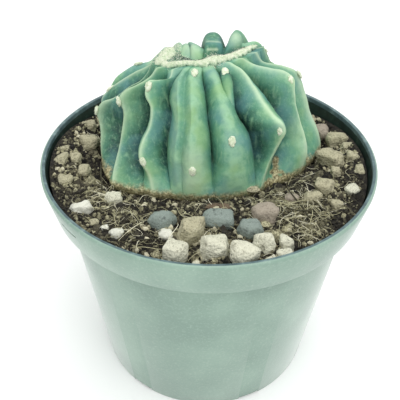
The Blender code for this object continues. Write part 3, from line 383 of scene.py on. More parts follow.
# Kinds of litter: shape with its seed and size, how many lie on a square metre, seed, smallest and largest
# size, how far they tip, how high they lie, gap to the wall, patches and finish. A strand's size is its
# length, radius, bow and steps
LITTER = (
    ("peat_clods", "lump", (9, (1.0, 0.8, 0.6), 2), 2.2e4, 19, (3.0, 6.0), 1.2, -0.2, 2.5, (), "broken_peat"),
    ("peat_crumbs", "lump", (1, (1.0, 0.75, 0.5), 1), 2.6e5, 11, (1.0, 3.2), 1.2, 0.0, 1.0, (), "broken_peat"),
    ("peat_chips", "lump", (6, (1.3, 0.6, 0.3), 1), 3.0e5, 16, (0.8, 2.6), 1.0, 0.2, 1.5, (), "broken_peat"),
    ("peat_dust", "lump", (2, (0.9, 0.8, 0.7), 1), 1.3e6, 12, (0.4, 1.1), 1.5, 0.1, 0.5, (), "broken_peat"),
    ("pumice_grit", "lump", (3, (1.0, 0.85, 0.75), 1), 9.0e4, 13, (0.7, 2.6), 1.5, 0.4, 1.0, GRIT_PATCHES,
     "broken_pumice"),
    ("short_fibres", "strand", (4, 5.5, 0.09, 2.0, 7), 2.2e5, 14, (0.4, 1.2), 0.6, 0.4, 3.5, FIBRE_PATCHES,
     "husk_fibre"),
    ("long_fibres", "strand", (5, 12.0, 0.11, 3.2, 10), 2.4e4, 15, (0.5, 1.2), 0.35, 0.8, 7.0, FIBRE_PATCHES,
     "husk_fibre"),
)

# Looks of the stones: dark, middle and light tone, size of the grain and share of pits, which also sets the
# painted shade in them
STONE_LOOKS = {
    "stone_tan": ("6E6A56", "B1AC8F", "D6D2B9", 0.9, 0.8),
    "stone_white": ("A8A898", "D8D8CA", "EFEEE4", 1.2, 0.4),
    "stone_grey": ("49524E", "828E87", "ABB4AC", 1.0, 0.45),
    "stone_pale": ("8A8875", "D3D2BD", "E8E7D8", 0.9, 0.8),
    "stone_pink": ("645B50", "9D9384", "C0B6A6", 1.0, 0.5),
    "bark_flake": ("3A3026", "6A5A48", "978771", 0.9, 0.5),
}

# The one stone with the look of another kind, and how often each kind's edges are blunted
DULL_STONES = {"stone_07": "stone_pale"}
BLUNTING_PASSES = {"stone_tan": 1, "stone_white": 1, "stone_grey": 3, "stone_pale": 1, "stone_pink": 2,
                   "bark_flake": 1}

# Working up of the stones: cuts of each edge, least swell, shift of the pattern from stone to stone,
# depth, size and share of the chips, and the height and size of each layer of relief
STONE_CUTS = 5
STONE_SWELL = 0.3
STONE_SHIFT = (7.3, 3.1, 0.0)
CHIPS = (0.7, 3.0, 0.1)
STONE_RELIEF = ((0.5, 4.2), (0.3, 1.6), (0.2, 0.6))

# Camera, fitted to the photograph
CAMERA_PLACE = (0.0, -184.23, 216.04)
CAMERA_AIM = (-2.964, 0.0, 69.538)
CAMERA_ROLL = 0.0123
CAMERA_LENS = 55.06
CAMERA_SENSOR = 36.0

# Studio lights: name, place in metres, size and power
LIGHTS = (("key", (0.1, -0.35, 0.75), 0.5, 2.4), ("top", (0.1, 0.2, 0.9), 0.7, 1.6))
LIGHTS_AIM = (0.0, 0.0, 0.1)
FLOOR_REACH = 3.0


def linear(code):
    """The linear light of an sRGB hex colour."""
    channels = [int(code[i:i + 2], 16) / 255 for i in (0, 2, 4)]
    return (*[c / 12.92 if c <= 0.04045 else ((c + 0.055) / 1.055) ** 2.4 for c in channels], 1.0)


def add_node(tree, kind, settings=None, links=None):
    """A node with its settings, its socket values or colour stops, and the sockets that feed it."""
    node = tree.nodes.new(kind)
    for key, value in (settings or {}).items():
        if key == "stops":
            elements = node.color_ramp.elements
            elements.remove(elements[1])
            elements[0].position = value[0][0]
            elements[0].color = linear(value[0][1])
            for position, code in value[1:]:
                elements.new(position).color = linear(code)
        elif isinstance(key, str) and hasattr(node, key):
            setattr(node, key, value)
        else:
            node.inputs[key].default_value = value
    for key, source in (links or {}).items():
        tree.links.new(source.outputs[0] if isinstance(source, bpy.types.Node) else source, node.inputs[key])
    return node


def new_material(name, roughness, patterns, settings=None):
    """A material with its tree, its shader, its surface's place in millimetres and its patterns.

    A pattern is given by its size in millimetres, its detail and its fineness.
    """
    material = bpy.data.materials.new(name)
    material.use_nodes = True
    tree = material.node_tree
    shader = tree.nodes["Principled BSDF"]
    shader.inputs["Roughness"].default_value = roughness
    for key, value in (settings or {}).items():
        shader.inputs[key].default_value = value
    place = add_node(tree, "ShaderNodeTexCoord")
    place = add_node(tree, "ShaderNodeMapping", {"Scale": (1000.0, 1000.0, 1000.0)},
                     {"Vector": place.outputs["Object"]})
    made = [add_node(tree, "ShaderNodeTexNoise", {"Scale": 1 / size, "Detail": detail, "Roughness": fineness},
                     {"Vector": place}) for size, detail, fineness in patterns]
    return material, tree, shader, place, *made


def wandering(tree, value, pattern, reach, limits=(0.0, 1.0)):
    """A value pushed up and down by a pattern, by the reach at its limits."""
    push = add_node(tree, "ShaderNodeMapRange", {"From Min": limits[0], "From Max": limits[1], "To Min": -reach,
                                                 "To Max": reach}, {"Value": pattern})
    return add_node(tree, "ShaderNodeMath", {"operation": "ADD"}, {0: value, 1: push})


def washed(tree, colour, wash, pattern, limits, most=1.0, within=None):
    """A colour under a wash of another, none where a pattern is at its first limit and most at its second."""
    share = add_node(tree, "ShaderNodeMapRange", {"From Min": limits[0], "From Max": limits[1], "To Max": most},
                     {"Value": pattern})
    if within is not None:
        share = add_node(tree, "ShaderNodeMath", {"operation": "MULTIPLY"}, {0: share, 1: within})
    plain = {7: linear(wash)} if isinstance(wash, str) else {}
    joined = {} if plain else {7: wash}
    mixed = add_node(tree, "ShaderNodeMix", {"data_type": "RGBA", **plain}, {0: share, 6: colour, **joined})
    return mixed.outputs[2]


def finish_surface(tree, shader, colour, reliefs=()):
    """The surface's colour, and its reliefs one over the other: pattern, depth in millimetres and strength."""
    tree.links.new(colour, shader.inputs["Base Color"])
    under = {}
    for pattern, depth, strength in reliefs:
        bump = add_node(tree, "ShaderNodeBump", {"Strength": strength, "Distance": depth * MM},
                        {"Height": pattern, **under})
        under = {"Normal": bump.outputs["Normal"]}
    if under:
        tree.links.new(under["Normal"], shader.inputs["Normal"])


def skin_material():
    """Cactus epidermis, grown under a thin wax bloom: dull and blue-green, with painted shade in the folds,
    painted light on the crests and pale painted highlights on the sharp edges, where the bloom is partly worn,
    and on some lit tops and crests.

    The patches are 9 mm, the mottling 2.4 mm, the streaks 1.5 mm by 7 mm and the bloom's specks
    0.8 mm, drawn coarser than their real 0.2 mm so that they show.
    """
    material, tree, shader, place, patches, mottle, specks = new_material(
        "bloomed_epidermis", 0.6, ((9.0, 2.0, 0.5), (2.4, 4.0, 0.6), (0.8, 3.0, 0.6)),
        {"Specular IOR Level": 0.35})
    crest, down, cork, pale = (add_node(tree, "ShaderNodeAttribute", {"attribute_name": name}).outputs["Fac"]
                               for name in ("crest", "down", "cork", "pale"))
    drawn = add_node(tree, "ShaderNodeMapping", {"Scale": (1.0, 1.0, 0.22)}, {"Vector": place})
    streaks = add_node(tree, "ShaderNodeTexNoise", {"Scale": 1 / 1.5, "Detail": 3.0, "Roughness": 0.6},
                       {"Vector": drawn})
    # The crest value carries the painted light on the crests and the painted shade towards the grooves
    uneven = wandering(tree, crest, mottle, 0.3)
    colour = add_node(tree, "ShaderNodeValToRGB", {"stops": SKIN_SHADE_TO_LIGHT_STOPS}, {"Fac": uneven}).outputs["Color"]
    bark = add_node(tree, "ShaderNodeValToRGB", {"stops": CORK_STOPS}, {"Fac": specks}).outputs["Color"]
    scar = wandering(tree, cork, mottle, 0.6)
    foot = wandering(tree, down, mottle, 0.04)
    # The pale wash is painted highlight, with worn bloom on the sharp edges; the other washes are streaks,
    # patches, specks and cork
    for wash, pattern, limits, most, within in (
        ("86AE8C", streaks, (0.52, 0.75), 0.6, None), ("55858A", patches, (0.5, 0.68), 0.55, None),
        ("82A96C", patches, (0.46, 0.32), 0.55, crest), ("93B69E", specks, (0.54, 0.74), 0.24, None),
        ("C9DDBB", pale, (0.0, 0.9), 0.8, None), (bark, scar, (0.3, 0.7), 1.0, None),
        (bark, foot, (0.962, 1.0), 0.95, None),
    ):
        colour = washed(tree, colour, wash, pattern, limits, most, within)
    finish_surface(tree, shader, colour, ((mottle, 0.2, 0.8), (specks, 0.1, 0.8)))
    return material


def felt_material(name, stops):
    """Plant felt, matted by itself as it grew: cream, with no shine, and green where its edge grows thin.

    The matting is 1.1 mm and the strands 0.35 mm.
    """
    material, tree, shader, _, matting, strands = new_material(
        name, 0.95, ((1.1, 4.0, 0.7), (0.35, 3.0, 0.7)), {"Sheen Weight": 0.2, "Sheen Roughness": 0.6})
    cream = add_node(tree, "ShaderNodeValToRGB", {"stops": stops}, {"Fac": matting})
    thin = add_node(tree, "ShaderNodeAttribute", {"attribute_name": "thin"}).outputs["Fac"]
    parted = wandering(tree, thin, strands, 0.35, (0.3, 0.7))
    colour = washed(tree, cream.outputs["Color"], "7DA585", parted, (0.3, 0.9), 0.9)
    finish_surface(tree, shader, colour, ((matting, 0.15, 1.0), (strands, 0.15, 1.0)))
    return material


def litter_material(name, stops):
    """Broken peat, pumice grit or husk fibre: dry and dull, each bit of its own shade, mottled at 0.8 mm."""
    material, tree, shader, _, mottle = new_material(name, 0.9, ((0.8, 4.0, 0.7),))
    tint = add_node(tree, "ShaderNodeAttribute", {"attribute_name": "tint"}).outputs["Fac"]
    colour = add_node(tree, "ShaderNodeValToRGB", {"stops": stops}, {"Fac": wandering(tree, tint, mottle, 0.3)})
    finish_surface(tree, shader, colour.outputs["Color"], ((mottle, 0.3, 1.0),))
    return material


def stone_material(slot):
    """Pumice, gravel or bark as broken and rolled: dry and dull, pitted where it is porous.

    The pits are about the grain's size, in millimetres, and the blotches two and a half times it. The pits are
    darkened, a painted shade in the hollows of their relief.
    """
    dark, middle, light, size, pitted = STONE_LOOKS[slot]
    material, tree, shader, place, blotch, grains = new_material(
        slot + "_rough", 0.9, ((size / 0.4, 6.0, 0.7), (size / 2.5, 3.0, 0.7)))
    pits = add_node(tree, "ShaderNodeTexVoronoi", {"Scale": 1.0 / size}, {"Vector": place}).outputs["Distance"]
    stops = ((0.3, dark), (0.46, middle), (0.62, middle), (0.78, light))
    face = add_node(tree, "ShaderNodeValToRGB", {"stops": stops}, {"Fac": blotch})
    # Painted shade: darker where the pits sink
    pit_shaded = washed(tree, face.outputs["Color"], dark, pits, (0.28, 0.1), pitted)
    colour = washed(tree, pit_shaded, light, grains, (0.56, 0.7), 0.5)
    finish_surface(tree, shader, colour, ((pits, 0.6 * pitted, 1.0), (grains, 0.3, 1.0)))
    return material


def pot_material():
    """Polypropylene, injection moulded with a fine spark-eroded face: satin, hazy, paler at a glancing angle.

    The handling haze is 22 mm wide. The face's grain is drawn at 0.9 mm instead of 0.1 mm, so that it shows.
    """
    material, tree, shader, _, haze, grain = new_material(
        "sage_polypropylene", 0.5, ((22.0, 3.0, 0.5), (0.9, 4.0, 0.65)),
        {"Sheen Weight": 0.6, "Sheen Roughness": 0.32, "IOR": 1.49})
    sage = add_node(tree, "ShaderNodeValToRGB", {"stops": POT_STOPS}, {"Fac": haze})
    light = washed(tree, sage.outputs["Color"], "B7CABD", grain, (0.52, 0.72), 0.25)
    colour = washed(tree, light, "6F8A7E", grain, (0.44, 0.28), 0.25)
    finish_surface(tree, shader, colour, ((grain, 0.05, 1.0),))
    return material


# Finishes with one pattern: roughness, the pattern's size, detail and fineness, its colours, and the depth
# of its relief
PLAIN_FINISHES = {
    # Peat potting mix, loose and damp: brown where it has dried, and near black between crumbs of about 2 mm, a
    # painted shade that follows the hollows of its relief
    "damp_peat": (0.95, (2.0, 6.0, 0.7), PEAT_AND_SHADE_STOPS, 0.9),
    # The pot's inner face, moulded polypropylene painted dark green-black as the shade inside the pot, in
    # blotches of 3.5 mm
    "shade_painted_polypropylene": (0.6, (3.5, 5.0, 0.65), INNER_WALL_SHADE_STOPS, 0.2),
    # The lip's inner edge and top, moulded polypropylene drawn as a dark blue-grey band, uneven every 4 mm
    "dark_lip_polypropylene": (0.45, (4.0, 4.0, 0.6), LIP_STOPS, 0.0),
}


def plain_material(name):
    """A material with one pattern, for its colour and its relief."""
    roughness, pattern, stops, depth = PLAIN_FINISHES[name]
    material, tree, shader, _, made = new_material(name, roughness, (pattern,))
    colour = add_node(tree, "ShaderNodeValToRGB", {"stops": stops}, {"Fac": made})
    finish_surface(tree, shader, colour.outputs["Color"], ((made, depth, 1.0),) if depth else ())
    return material


def placed(name, data):
    """A new object at the origin of the scene."""
    obj = bpy.data.objects.new(name, data)
    bpy.context.scene.collection.objects.link(obj)
    return obj


def make_piece(name, mesh, material, nodes=(), smooth=True):
    """An object at the origin that rides on the root, with its material and the nodes it stands for."""
    obj = placed(name, mesh)
    if material is not None:
        mesh.materials.clear()
        mesh.materials.append(material)
    if smooth:
        mesh.shade_smooth()
    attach(obj, "root")
    if nodes:
        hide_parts(*nodes)
    return obj


def finished_mesh(bm, name):
    """A mesh in metres, with its faces pointing out."""
    bmesh.ops.recalc_face_normals(bm, faces=bm.faces)
    bmesh.ops.scale(bm, vec=(MM, MM, MM), verts=bm.verts)
    mesh = bpy.data.meshes.new(name)
    bm.to_mesh(mesh)
    bm.free()
    return mesh


def join_rings(bm, rings):
    """Faces between each ring and the next."""
    for lower, upper in zip(rings, rings[1:]):
        for i in range(len(lower)):
            j = (i + 1) % len(lower)
            bm.faces.new((lower[i], lower[j], upper[j], upper[i]))


def close_ring(bm, ring, tip):
    """A fan of faces from a ring to a point."""
    middle = bm.verts.new(tip)
    for i in range(len(ring)):
        bm.faces.new((ring[i], ring[(i + 1) % len(ring)], middle))


def ring_faces(rows, count):
    """Faces between rows of numbered points, each row a closed ring."""
    faces = []
    for row in range(rows - 1):
        for i in range(count):
            j = (i + 1) % count
            faces.append((row * count + i, row * count + j, (row + 1) * count + j, (row + 1) * count + i))
    return faces


def set_values(mesh, name, values):
    """A named value on each point of a mesh."""
    layer = mesh.attributes.new(name, "FLOAT", "POINT")
    layer.data.foreach_set("value", np.array(values, dtype=np.float32))


def relief(place, layers):
    """How far a layered pattern rises at a place, from the height and size of each layer."""
    return sum(height * noise.noise(place / size) for height, size in layers)


def circle(radius, height, sides):
    """Points round the pot's axis."""
    turns = (2 * math.pi * i / sides for i in range(sides))
    return [(radius * math.cos(turn), radius * math.sin(turn), height) for turn in turns]


def smooth_path(points, shares):
    """Points at the given shares of the length of a smooth curve through the points."""
    points = np.array(points, dtype=float)
    steps = np.linalg.norm(np.diff(points, axis=0), axis=1)
    knots = np.concatenate(([0.0], np.cumsum(steps)))
    slopes = np.gradient(points, knots, axis=0)
    fine = []
    for i, length in enumerate(steps):
        for u in np.linspace(0.0, 1.0, PATH_STEPS, endpoint=False):
            start = (1 + 2 * u) * (1 - u) ** 2
            end = u * u * (3 - 2 * u)
            leave = u * (1 - u) ** 2 * length
            arrive = u * u * (u - 1) * length
            fine.append(start * points[i] + end * points[i + 1] + leave * slopes[i] + arrive * slopes[i + 1])
    fine.append(points[-1])
    fine = np.array(fine)
    travelled = np.concatenate(([0.0], np.cumsum(np.linalg.norm(np.diff(fine, axis=0), axis=1))))
    wanted = np.array(shares) * travelled[-1]
    return np.stack([np.interp(wanted, travelled, fine[:, axis]) for axis in range(3)], axis=1)


def crest_line(points):
    """A rib's crest, with its first point in the wool's seat."""
    x, y, _ = points[0]
    wool = smooth_path(WOOL_LINE, np.linspace(0.0, 1.0, WOOL_STATIONS))
    nearest = np.argmin(np.hypot(wool[:, 0] - x, wool[:, 1] - y))
    return ((x, y, wool[nearest, 2] - WOOL_SEAT), *points[1:])


def inward(point):
    """Unit direction from a point on the body to its inner spine."""
    left = np.array(SPINE_LEFT)
    along = np.array(SPINE_RIGHT) - left
    share = np.clip(np.dot(point[:2] - left, along) / np.dot(along, along), 0.0, 1.0)
    plan = left + share * along
    height = min(max(point[2] - SPINE_DROP, SPINE_FOOT), SPINE_TOP)
    direction = np.array((plan[0], plan[1], height)) - point
    return direction / np.linalg.norm(direction)


def rib_section(left, crest, right, bend):
    """Half a blunt oval from one groove over the crest to just before the next groove."""
    chord = right - left
    foot = left + chord * (np.dot(crest - left, chord) / np.dot(chord, chord))
    points = []
    for step in range(2 * RIB_STEPS):
        angle = math.pi * step / (2 * RIB_STEPS)
        side = left if math.cos(angle) > 0 else right
        spread = abs(math.cos(angle)) ** bend[0]
        lift = math.sin(angle) ** bend[1]
        points.append(foot + (side - foot) * spread + (crest - foot) * lift)
    return points


def shape_thumbs(points):
    """Draw the two thumbs in towards their middles, and blunt their tips."""
    x, y, z = points.T
    front = THUMB_FRONT[0] + THUMB_FRONT[1] * np.maximum(x, 0.0)
    ease_front, ease_back, ease_side = THUMB_EASE
    behind = np.clip((y - front) / ease_front, 0.0, 1.0) * np.clip((THUMB_BACK - y) / ease_back, 0.0, 1.0)
    for middle, reach, share, rise, give in THUMBS:
        apart = x - middle
        over = np.maximum(z - THUMB_FOOT, 0.0)
        near = behind * np.clip((THUMB_HALF - abs(apart)) / ease_side, 0.0, 1.0)
        z = z + near * (rise * (1.0 - np.exp(-over / give)) - over)
        low = np.clip((z - THUMB_FOOT) / ease_front + 1.0, 0.0, 1.0)
        x = x - share * behind * low * apart * np.exp(-((apart / reach) ** 2))
    return np.stack([x, y, z], axis=1)


def body_rings():
    """Rings of points down the body, their painted crest light and groove shade, their pale edge line of painted
    highlight and partly worn bloom, and their share of the way down.
    """
    shares = np.linspace(0.0, 1.0, BODY_ROWS) ** ROW_EASE
    crests = [smooth_path(crest_line(points), shares) for _, points, *_ in RIBS]
    count = len(RIBS)
    rise = np.sin(np.pi * np.arange(2 * RIB_STEPS) / (2 * RIB_STEPS))
    rings = []
    crest_light_and_shade = []
    worn_and_highlit = []
    for row, share in enumerate(shares):
        depth_share = np.interp(share, GROOVE_SHARE_ROWS, GROOVE_SHARE)
        grooves = []
        depths = []
        foot = min(max((share - FOOT_FROM) / (1.0 - FOOT_FROM), 0.0), 1.0)
        for i, (name, _, (across, depth), _, _) in enumerate(RIBS):
            foot_across, foot_depth = FOOT_GROOVES.get(name, (across, 1.0))
            across += foot * (foot_across - across)
            depth *= 1.0 + foot * (foot_depth - 1.0)
            here = crests[i][row]
            there = crests[(i + 1) % count][row]
            middle = here + across * (there - here)
            spacing = np.linalg.norm(there - here)
            sunk = depth * depth_share * (1.0 - math.exp(-GROOVE_WIDTH_SHARE * spacing / depth))
            grooves.append(middle + inward(middle) * sunk)
            depths.append(sunk)
        ring = []
        tops = []
        edges = []
        rounding = []
        creased = []
        for i, (name, _, _, bend, _) in enumerate(RIBS):
            ring += rib_section(grooves[i - 1], crests[i][row], grooves[i], bend)
            # Painted shade darkens each flank towards a deep groove, and painted light lies along the crest
            beside = np.repeat((depths[i - 1], depths[i]), RIB_STEPS) / FULL_GROOVE_SHADE_DEPTH
            shade = rise ** CREST_SHARPNESS.get(name, PLAIN_CREST)
            shade = 1.0 - (1.0 - shade) * np.clip(beside, FAINTEST_GROOVE_SHADE, 1.0)
            tops.append(RIB_CREST_LIGHT_SHARES.get(name, 1.0) * shade)
            # A thin pale line along the sharp crests: painted highlight, partly standing for worn bloom
            edges.append(EDGE_HIGHLIGHT_AND_WEAR * rise ** WORN_HIGHLIT_EDGE * (name in CREST_SHARPNESS))
            rounding += [ROUND_CRESTS.get(name, OTHER_CRESTS)] * len(rise)
            creased += [name in CREASED_LOBES] * len(rise)
        rings.append(ring)
        crest_light_and_shade.append(np.concatenate(tops))
        worn_and_highlit.append(np.concatenate(edges))
    rings = np.array(rings)
    band_start, band_width = ROUNDING_BAND
    pull = np.clip((np.tile(rise, count) ** PLAIN_CREST - band_start) / band_width, 0.0, 1.0)
    pull *= np.array(rounding)
    fading = np.clip(1.0 - shares / CREASED_SHARE, 0.0, 1.0)[:, None] * np.array(creased)
    pull = 0.5 * np.maximum(pull[None, :], fading)[1:-1, :, None]
    for _ in range(ROUNDING_PASSES):
        across = (np.roll(rings, 1, axis=1) + np.roll(rings, -1, axis=1))[1:-1] / 2
        rings[1:-1] += pull * (across - rings[1:-1])
    rings = shape_thumbs(rings.reshape(-1, 3)).reshape(rings.shape)
    return list(rings), crest_light_and_shade, worn_and_highlit, shares


def add_rod(bm, points, radii, sides, steps):
    """A rod along a smooth line with a radius at each point."""
    shares = np.linspace(0.0, 1.0, steps)
    line = smooth_path(points, shares)
    radii = np.interp(shares, np.linspace(0.0, 1.0, len(radii)), radii)
    turns = [2 * math.pi * i / sides for i in range(sides)]
    rings = []
    for point, direction, radius in zip(line, np.gradient(line, axis=0), radii.tolist()):
        direction = Vector(direction).normalized()
        across = direction.cross(Vector((1.0, 0.0, 0.0))).normalized()
        other = direction.cross(across)
        rings.append([bm.verts.new(Vector(point) + radius * (math.cos(turn) * across + math.sin(turn) * other))
                      for turn in turns])
    join_rings(bm, rings)
    bm.faces.new(rings[0])
    bm.faces.new(rings[-1])


def make_skin():
    """The grown body as one fine skin, closed through its root neck."""
    rings, crest_light_and_shade, worn_and_highlit, shares = body_rings()
    centre = np.array(BODY_CENTRE)
    outline = rings[-1]
    count = len(outline)
    for scale, height in NECK_ROWS:
        plan = centre + (outline[:, :2] - centre) * scale
        rings.append(np.column_stack((plan, np.full(count, height))))
        crest_light_and_shade.append(np.zeros(count))
        worn_and_highlit.append(np.zeros(count))
    down = [*shares, *[1.0] * len(NECK_ROWS)]
    points = np.vstack((*rings, rings[0].mean(axis=0), (*BODY_CENTRE, NECK_TIP)))
    faces = ring_faces(len(rings), count)
    last = (len(rings) - 1) * count
    for i in range(count):
        j = (i + 1) % count
        faces += [(j, i, len(points) - 2), (last + i, last + j, len(points) - 1)]
    mesh = bpy.data.meshes.new("skin")
    mesh.from_pydata([tuple(p * MM) for p in points], [], faces)
    values = {
        # The crest value is painted crest light and groove shade; the pale value adds the painted highlights
        "crest": np.concatenate([*crest_light_and_shade, (0.0, 0.0)]),
        "down": np.concatenate([np.repeat(down, count), (0.0, 1.0)]),
        "cork": np.zeros(len(points)),
        "pale": np.concatenate([*worn_and_highlit, (0.0, 0.0)]),
    }
    # The pale spots are painted highlights, laid over the pale crest edges
    for name, spots in (("cork", CORK_SPOTS), ("pale", PAINTED_HIGHLIGHT_SPOTS)):
        for start, end, reach, strength in spots:
            start = np.array(start)
            line = np.array(end) - start
            along = np.clip((points - start) @ line / (line @ line), 0.0, 1.0)
            apart = np.linalg.norm(points - start - along[:, None] * line, axis=1)
            values[name] = np.maximum(values[name], strength * np.clip(1.0 - apart / reach, 0.0, 1.0))
    for name, data in values.items():
        set_values(mesh, name, data)
    bm = bmesh.new()
    bm.from_mesh(mesh)
    bmesh.ops.recalc_face_normals(bm, faces=bm.faces)
    bm.normal_update()
    for vertex in bm.verts:
        place = vertex.co / MM
        if place.z > SWELL_FROM:
            vertex.co += vertex.normal * relief(place, SKIN_SWELLS) * MM
    bm.to_mesh(mesh)
    bm.free()
    return mesh


def make_wedge():
    """The small rib wedged in the front, with the body's crest value for its colour, painted lighter where it
    faces the front.
    """
    bm = bmesh.new()
    add_rod(bm, WEDGE_RIB, WEDGE_RADIUS, WEDGE_SIDES, WEDGE_STATIONS)
    mesh = finished_mesh(bm, "wedge")
    # The crest value here is painted light: it grows as a face turns to the front
    set_values(mesh, "crest", [max(0.0, -vertex.normal.y) for vertex in mesh.vertices])
    return mesh


def make_areoles():
    """Low oval felt cushions on the crests, and one at the tip of the wedge rib."""
    seats = []
    for name, points, _, _, places in RIBS:
        for place in places:
            shares = (place - AREOLE_SPAN, place, place + AREOLE_SPAN)
            before, here, after = smooth_path(crest_line(points), shares)
            shift = np.array(AREOLE_SHIFT.get(name, (0.0, 0.0, 0.0)))
            seats.append((here + shift, after - before, -inward(here)))
    shift, along, out = (np.array(row) for row in WEDGE_AREOLE)
    seats.append((np.array(WEDGE_RIB[1]) + shift, along, out))
    lumps, rate, step = AREOLE_LUMPS
    bm = bmesh.new()
    for number, (here, along, out) in enumerate(seats):
        along = Vector(along).normalized()
        out = Vector(out)
        out = (out - out.dot(along) * along).normalized()
        turn = Matrix((along, out.cross(along), out)).transposed().to_4x4()
        turn.translation = Vector(here) - AREOLE_SINK * out
        size = Matrix.Diagonal((AREOLE_LENGTH, AREOLE_WIDTH, 2 * AREOLE_HEIGHT, 1.0))
        made = bmesh.ops.create_icosphere(bm, subdivisions=3, radius=0.5)
        for vertex in made["verts"]:
            shape = vertex.co.copy()
            shape.y *= 1.0 - AREOLE_TAPER * shape.x
            shape *= 1.0 + lumps * noise.noise(shape * rate + Vector((number * step, 0.0, 0.0)))
            vertex.co = turn @ size @ shape
    return finished_mesh(bm, "areoles")


def wool_stations():
    """Shares along the wool, its line and half width there, and the spread and rise of its felt."""
    shares = np.linspace(0.0, 1.0, FELT_STATIONS)
    knots = np.linspace(0.0, 1.0, len(WOOL_HALF_WIDTH))
    widths, spread, rises = (np.interp(shares, knots, row) for row in (WOOL_HALF_WIDTH, FELT_SPREAD, FELT_RISE))
    return shares, smooth_path(WOOL_LINE, shares), widths, spread, WOOL_HEIGHT * rises


def make_wool():
    """The strip of matted wool along the growing line, broad at its left end and pinched where ribs meet it."""
    shares, line, widths, spread, rises = wool_stations()
    along = np.gradient(line[:, :2], axis=0)
    blunt, taper = FELT_END
    bm = bmesh.new()
    thin = bm.verts.layers.float.new("thin")
    rings = []
    for share, point, direction, width, wide, height in zip(shares, line, along, widths, spread, rises):
        across = np.array((-direction[1], direction[0], 0.0)) / np.linalg.norm(direction)
        ends = min(1.0, blunt + min(share, 1.0 - share) * taper)
        ring = []
        for i in range(FELT_STEPS + 1):
            angle = math.pi * i / FELT_STEPS
            fringe = Vector(point) + Vector((0.0, 0.0, FELT_SIDE_SHIFT if 2 * i < FELT_STEPS else 0.0))
            side = -math.cos(angle) * width * wide * ends * (FELT_EDGE + relief(fringe, FELT_RAGS))
            rise = math.sin(angle) ** FELT_ROUNDNESS * height * ends
            place = Vector(point + across * side + np.array((0.0, 0.0, rise - FELT_DROOP * abs(side) / wide)))
            lump = relief(place, FELT_LUMPS) if 0 < i < FELT_STEPS else 0.0
            vertex = bm.verts.new(place + Vector((0.0, 0.0, lump)))
            vertex[thin] = 1.0 - math.sin(angle)
            ring.append(vertex)
        rings.append(ring)
    join_rings(bm, rings)
    bm.faces.new(rings[0])
    bm.faces.new(rings[-1])
    bmesh.ops.triangulate(bm, faces=[face for face in bm.faces if len(face.verts) > 4])
    return finished_mesh(bm, "wool")


def pot_inner_radius(height):
    """Radius of the pot's inner face at a height."""
    if height >= LEDGE:
        share = (height - LEDGE) / (LIP_FOOT - LEDGE)
        return COLLAR_FOOT_RADIUS - WALL + share * (RIM_RADIUS - COLLAR_FOOT_RADIUS - EDGE)
    return FOOT_RADIUS + height / COLLAR_FOOT * (NECK_RADIUS - FOOT_RADIUS) - WALL


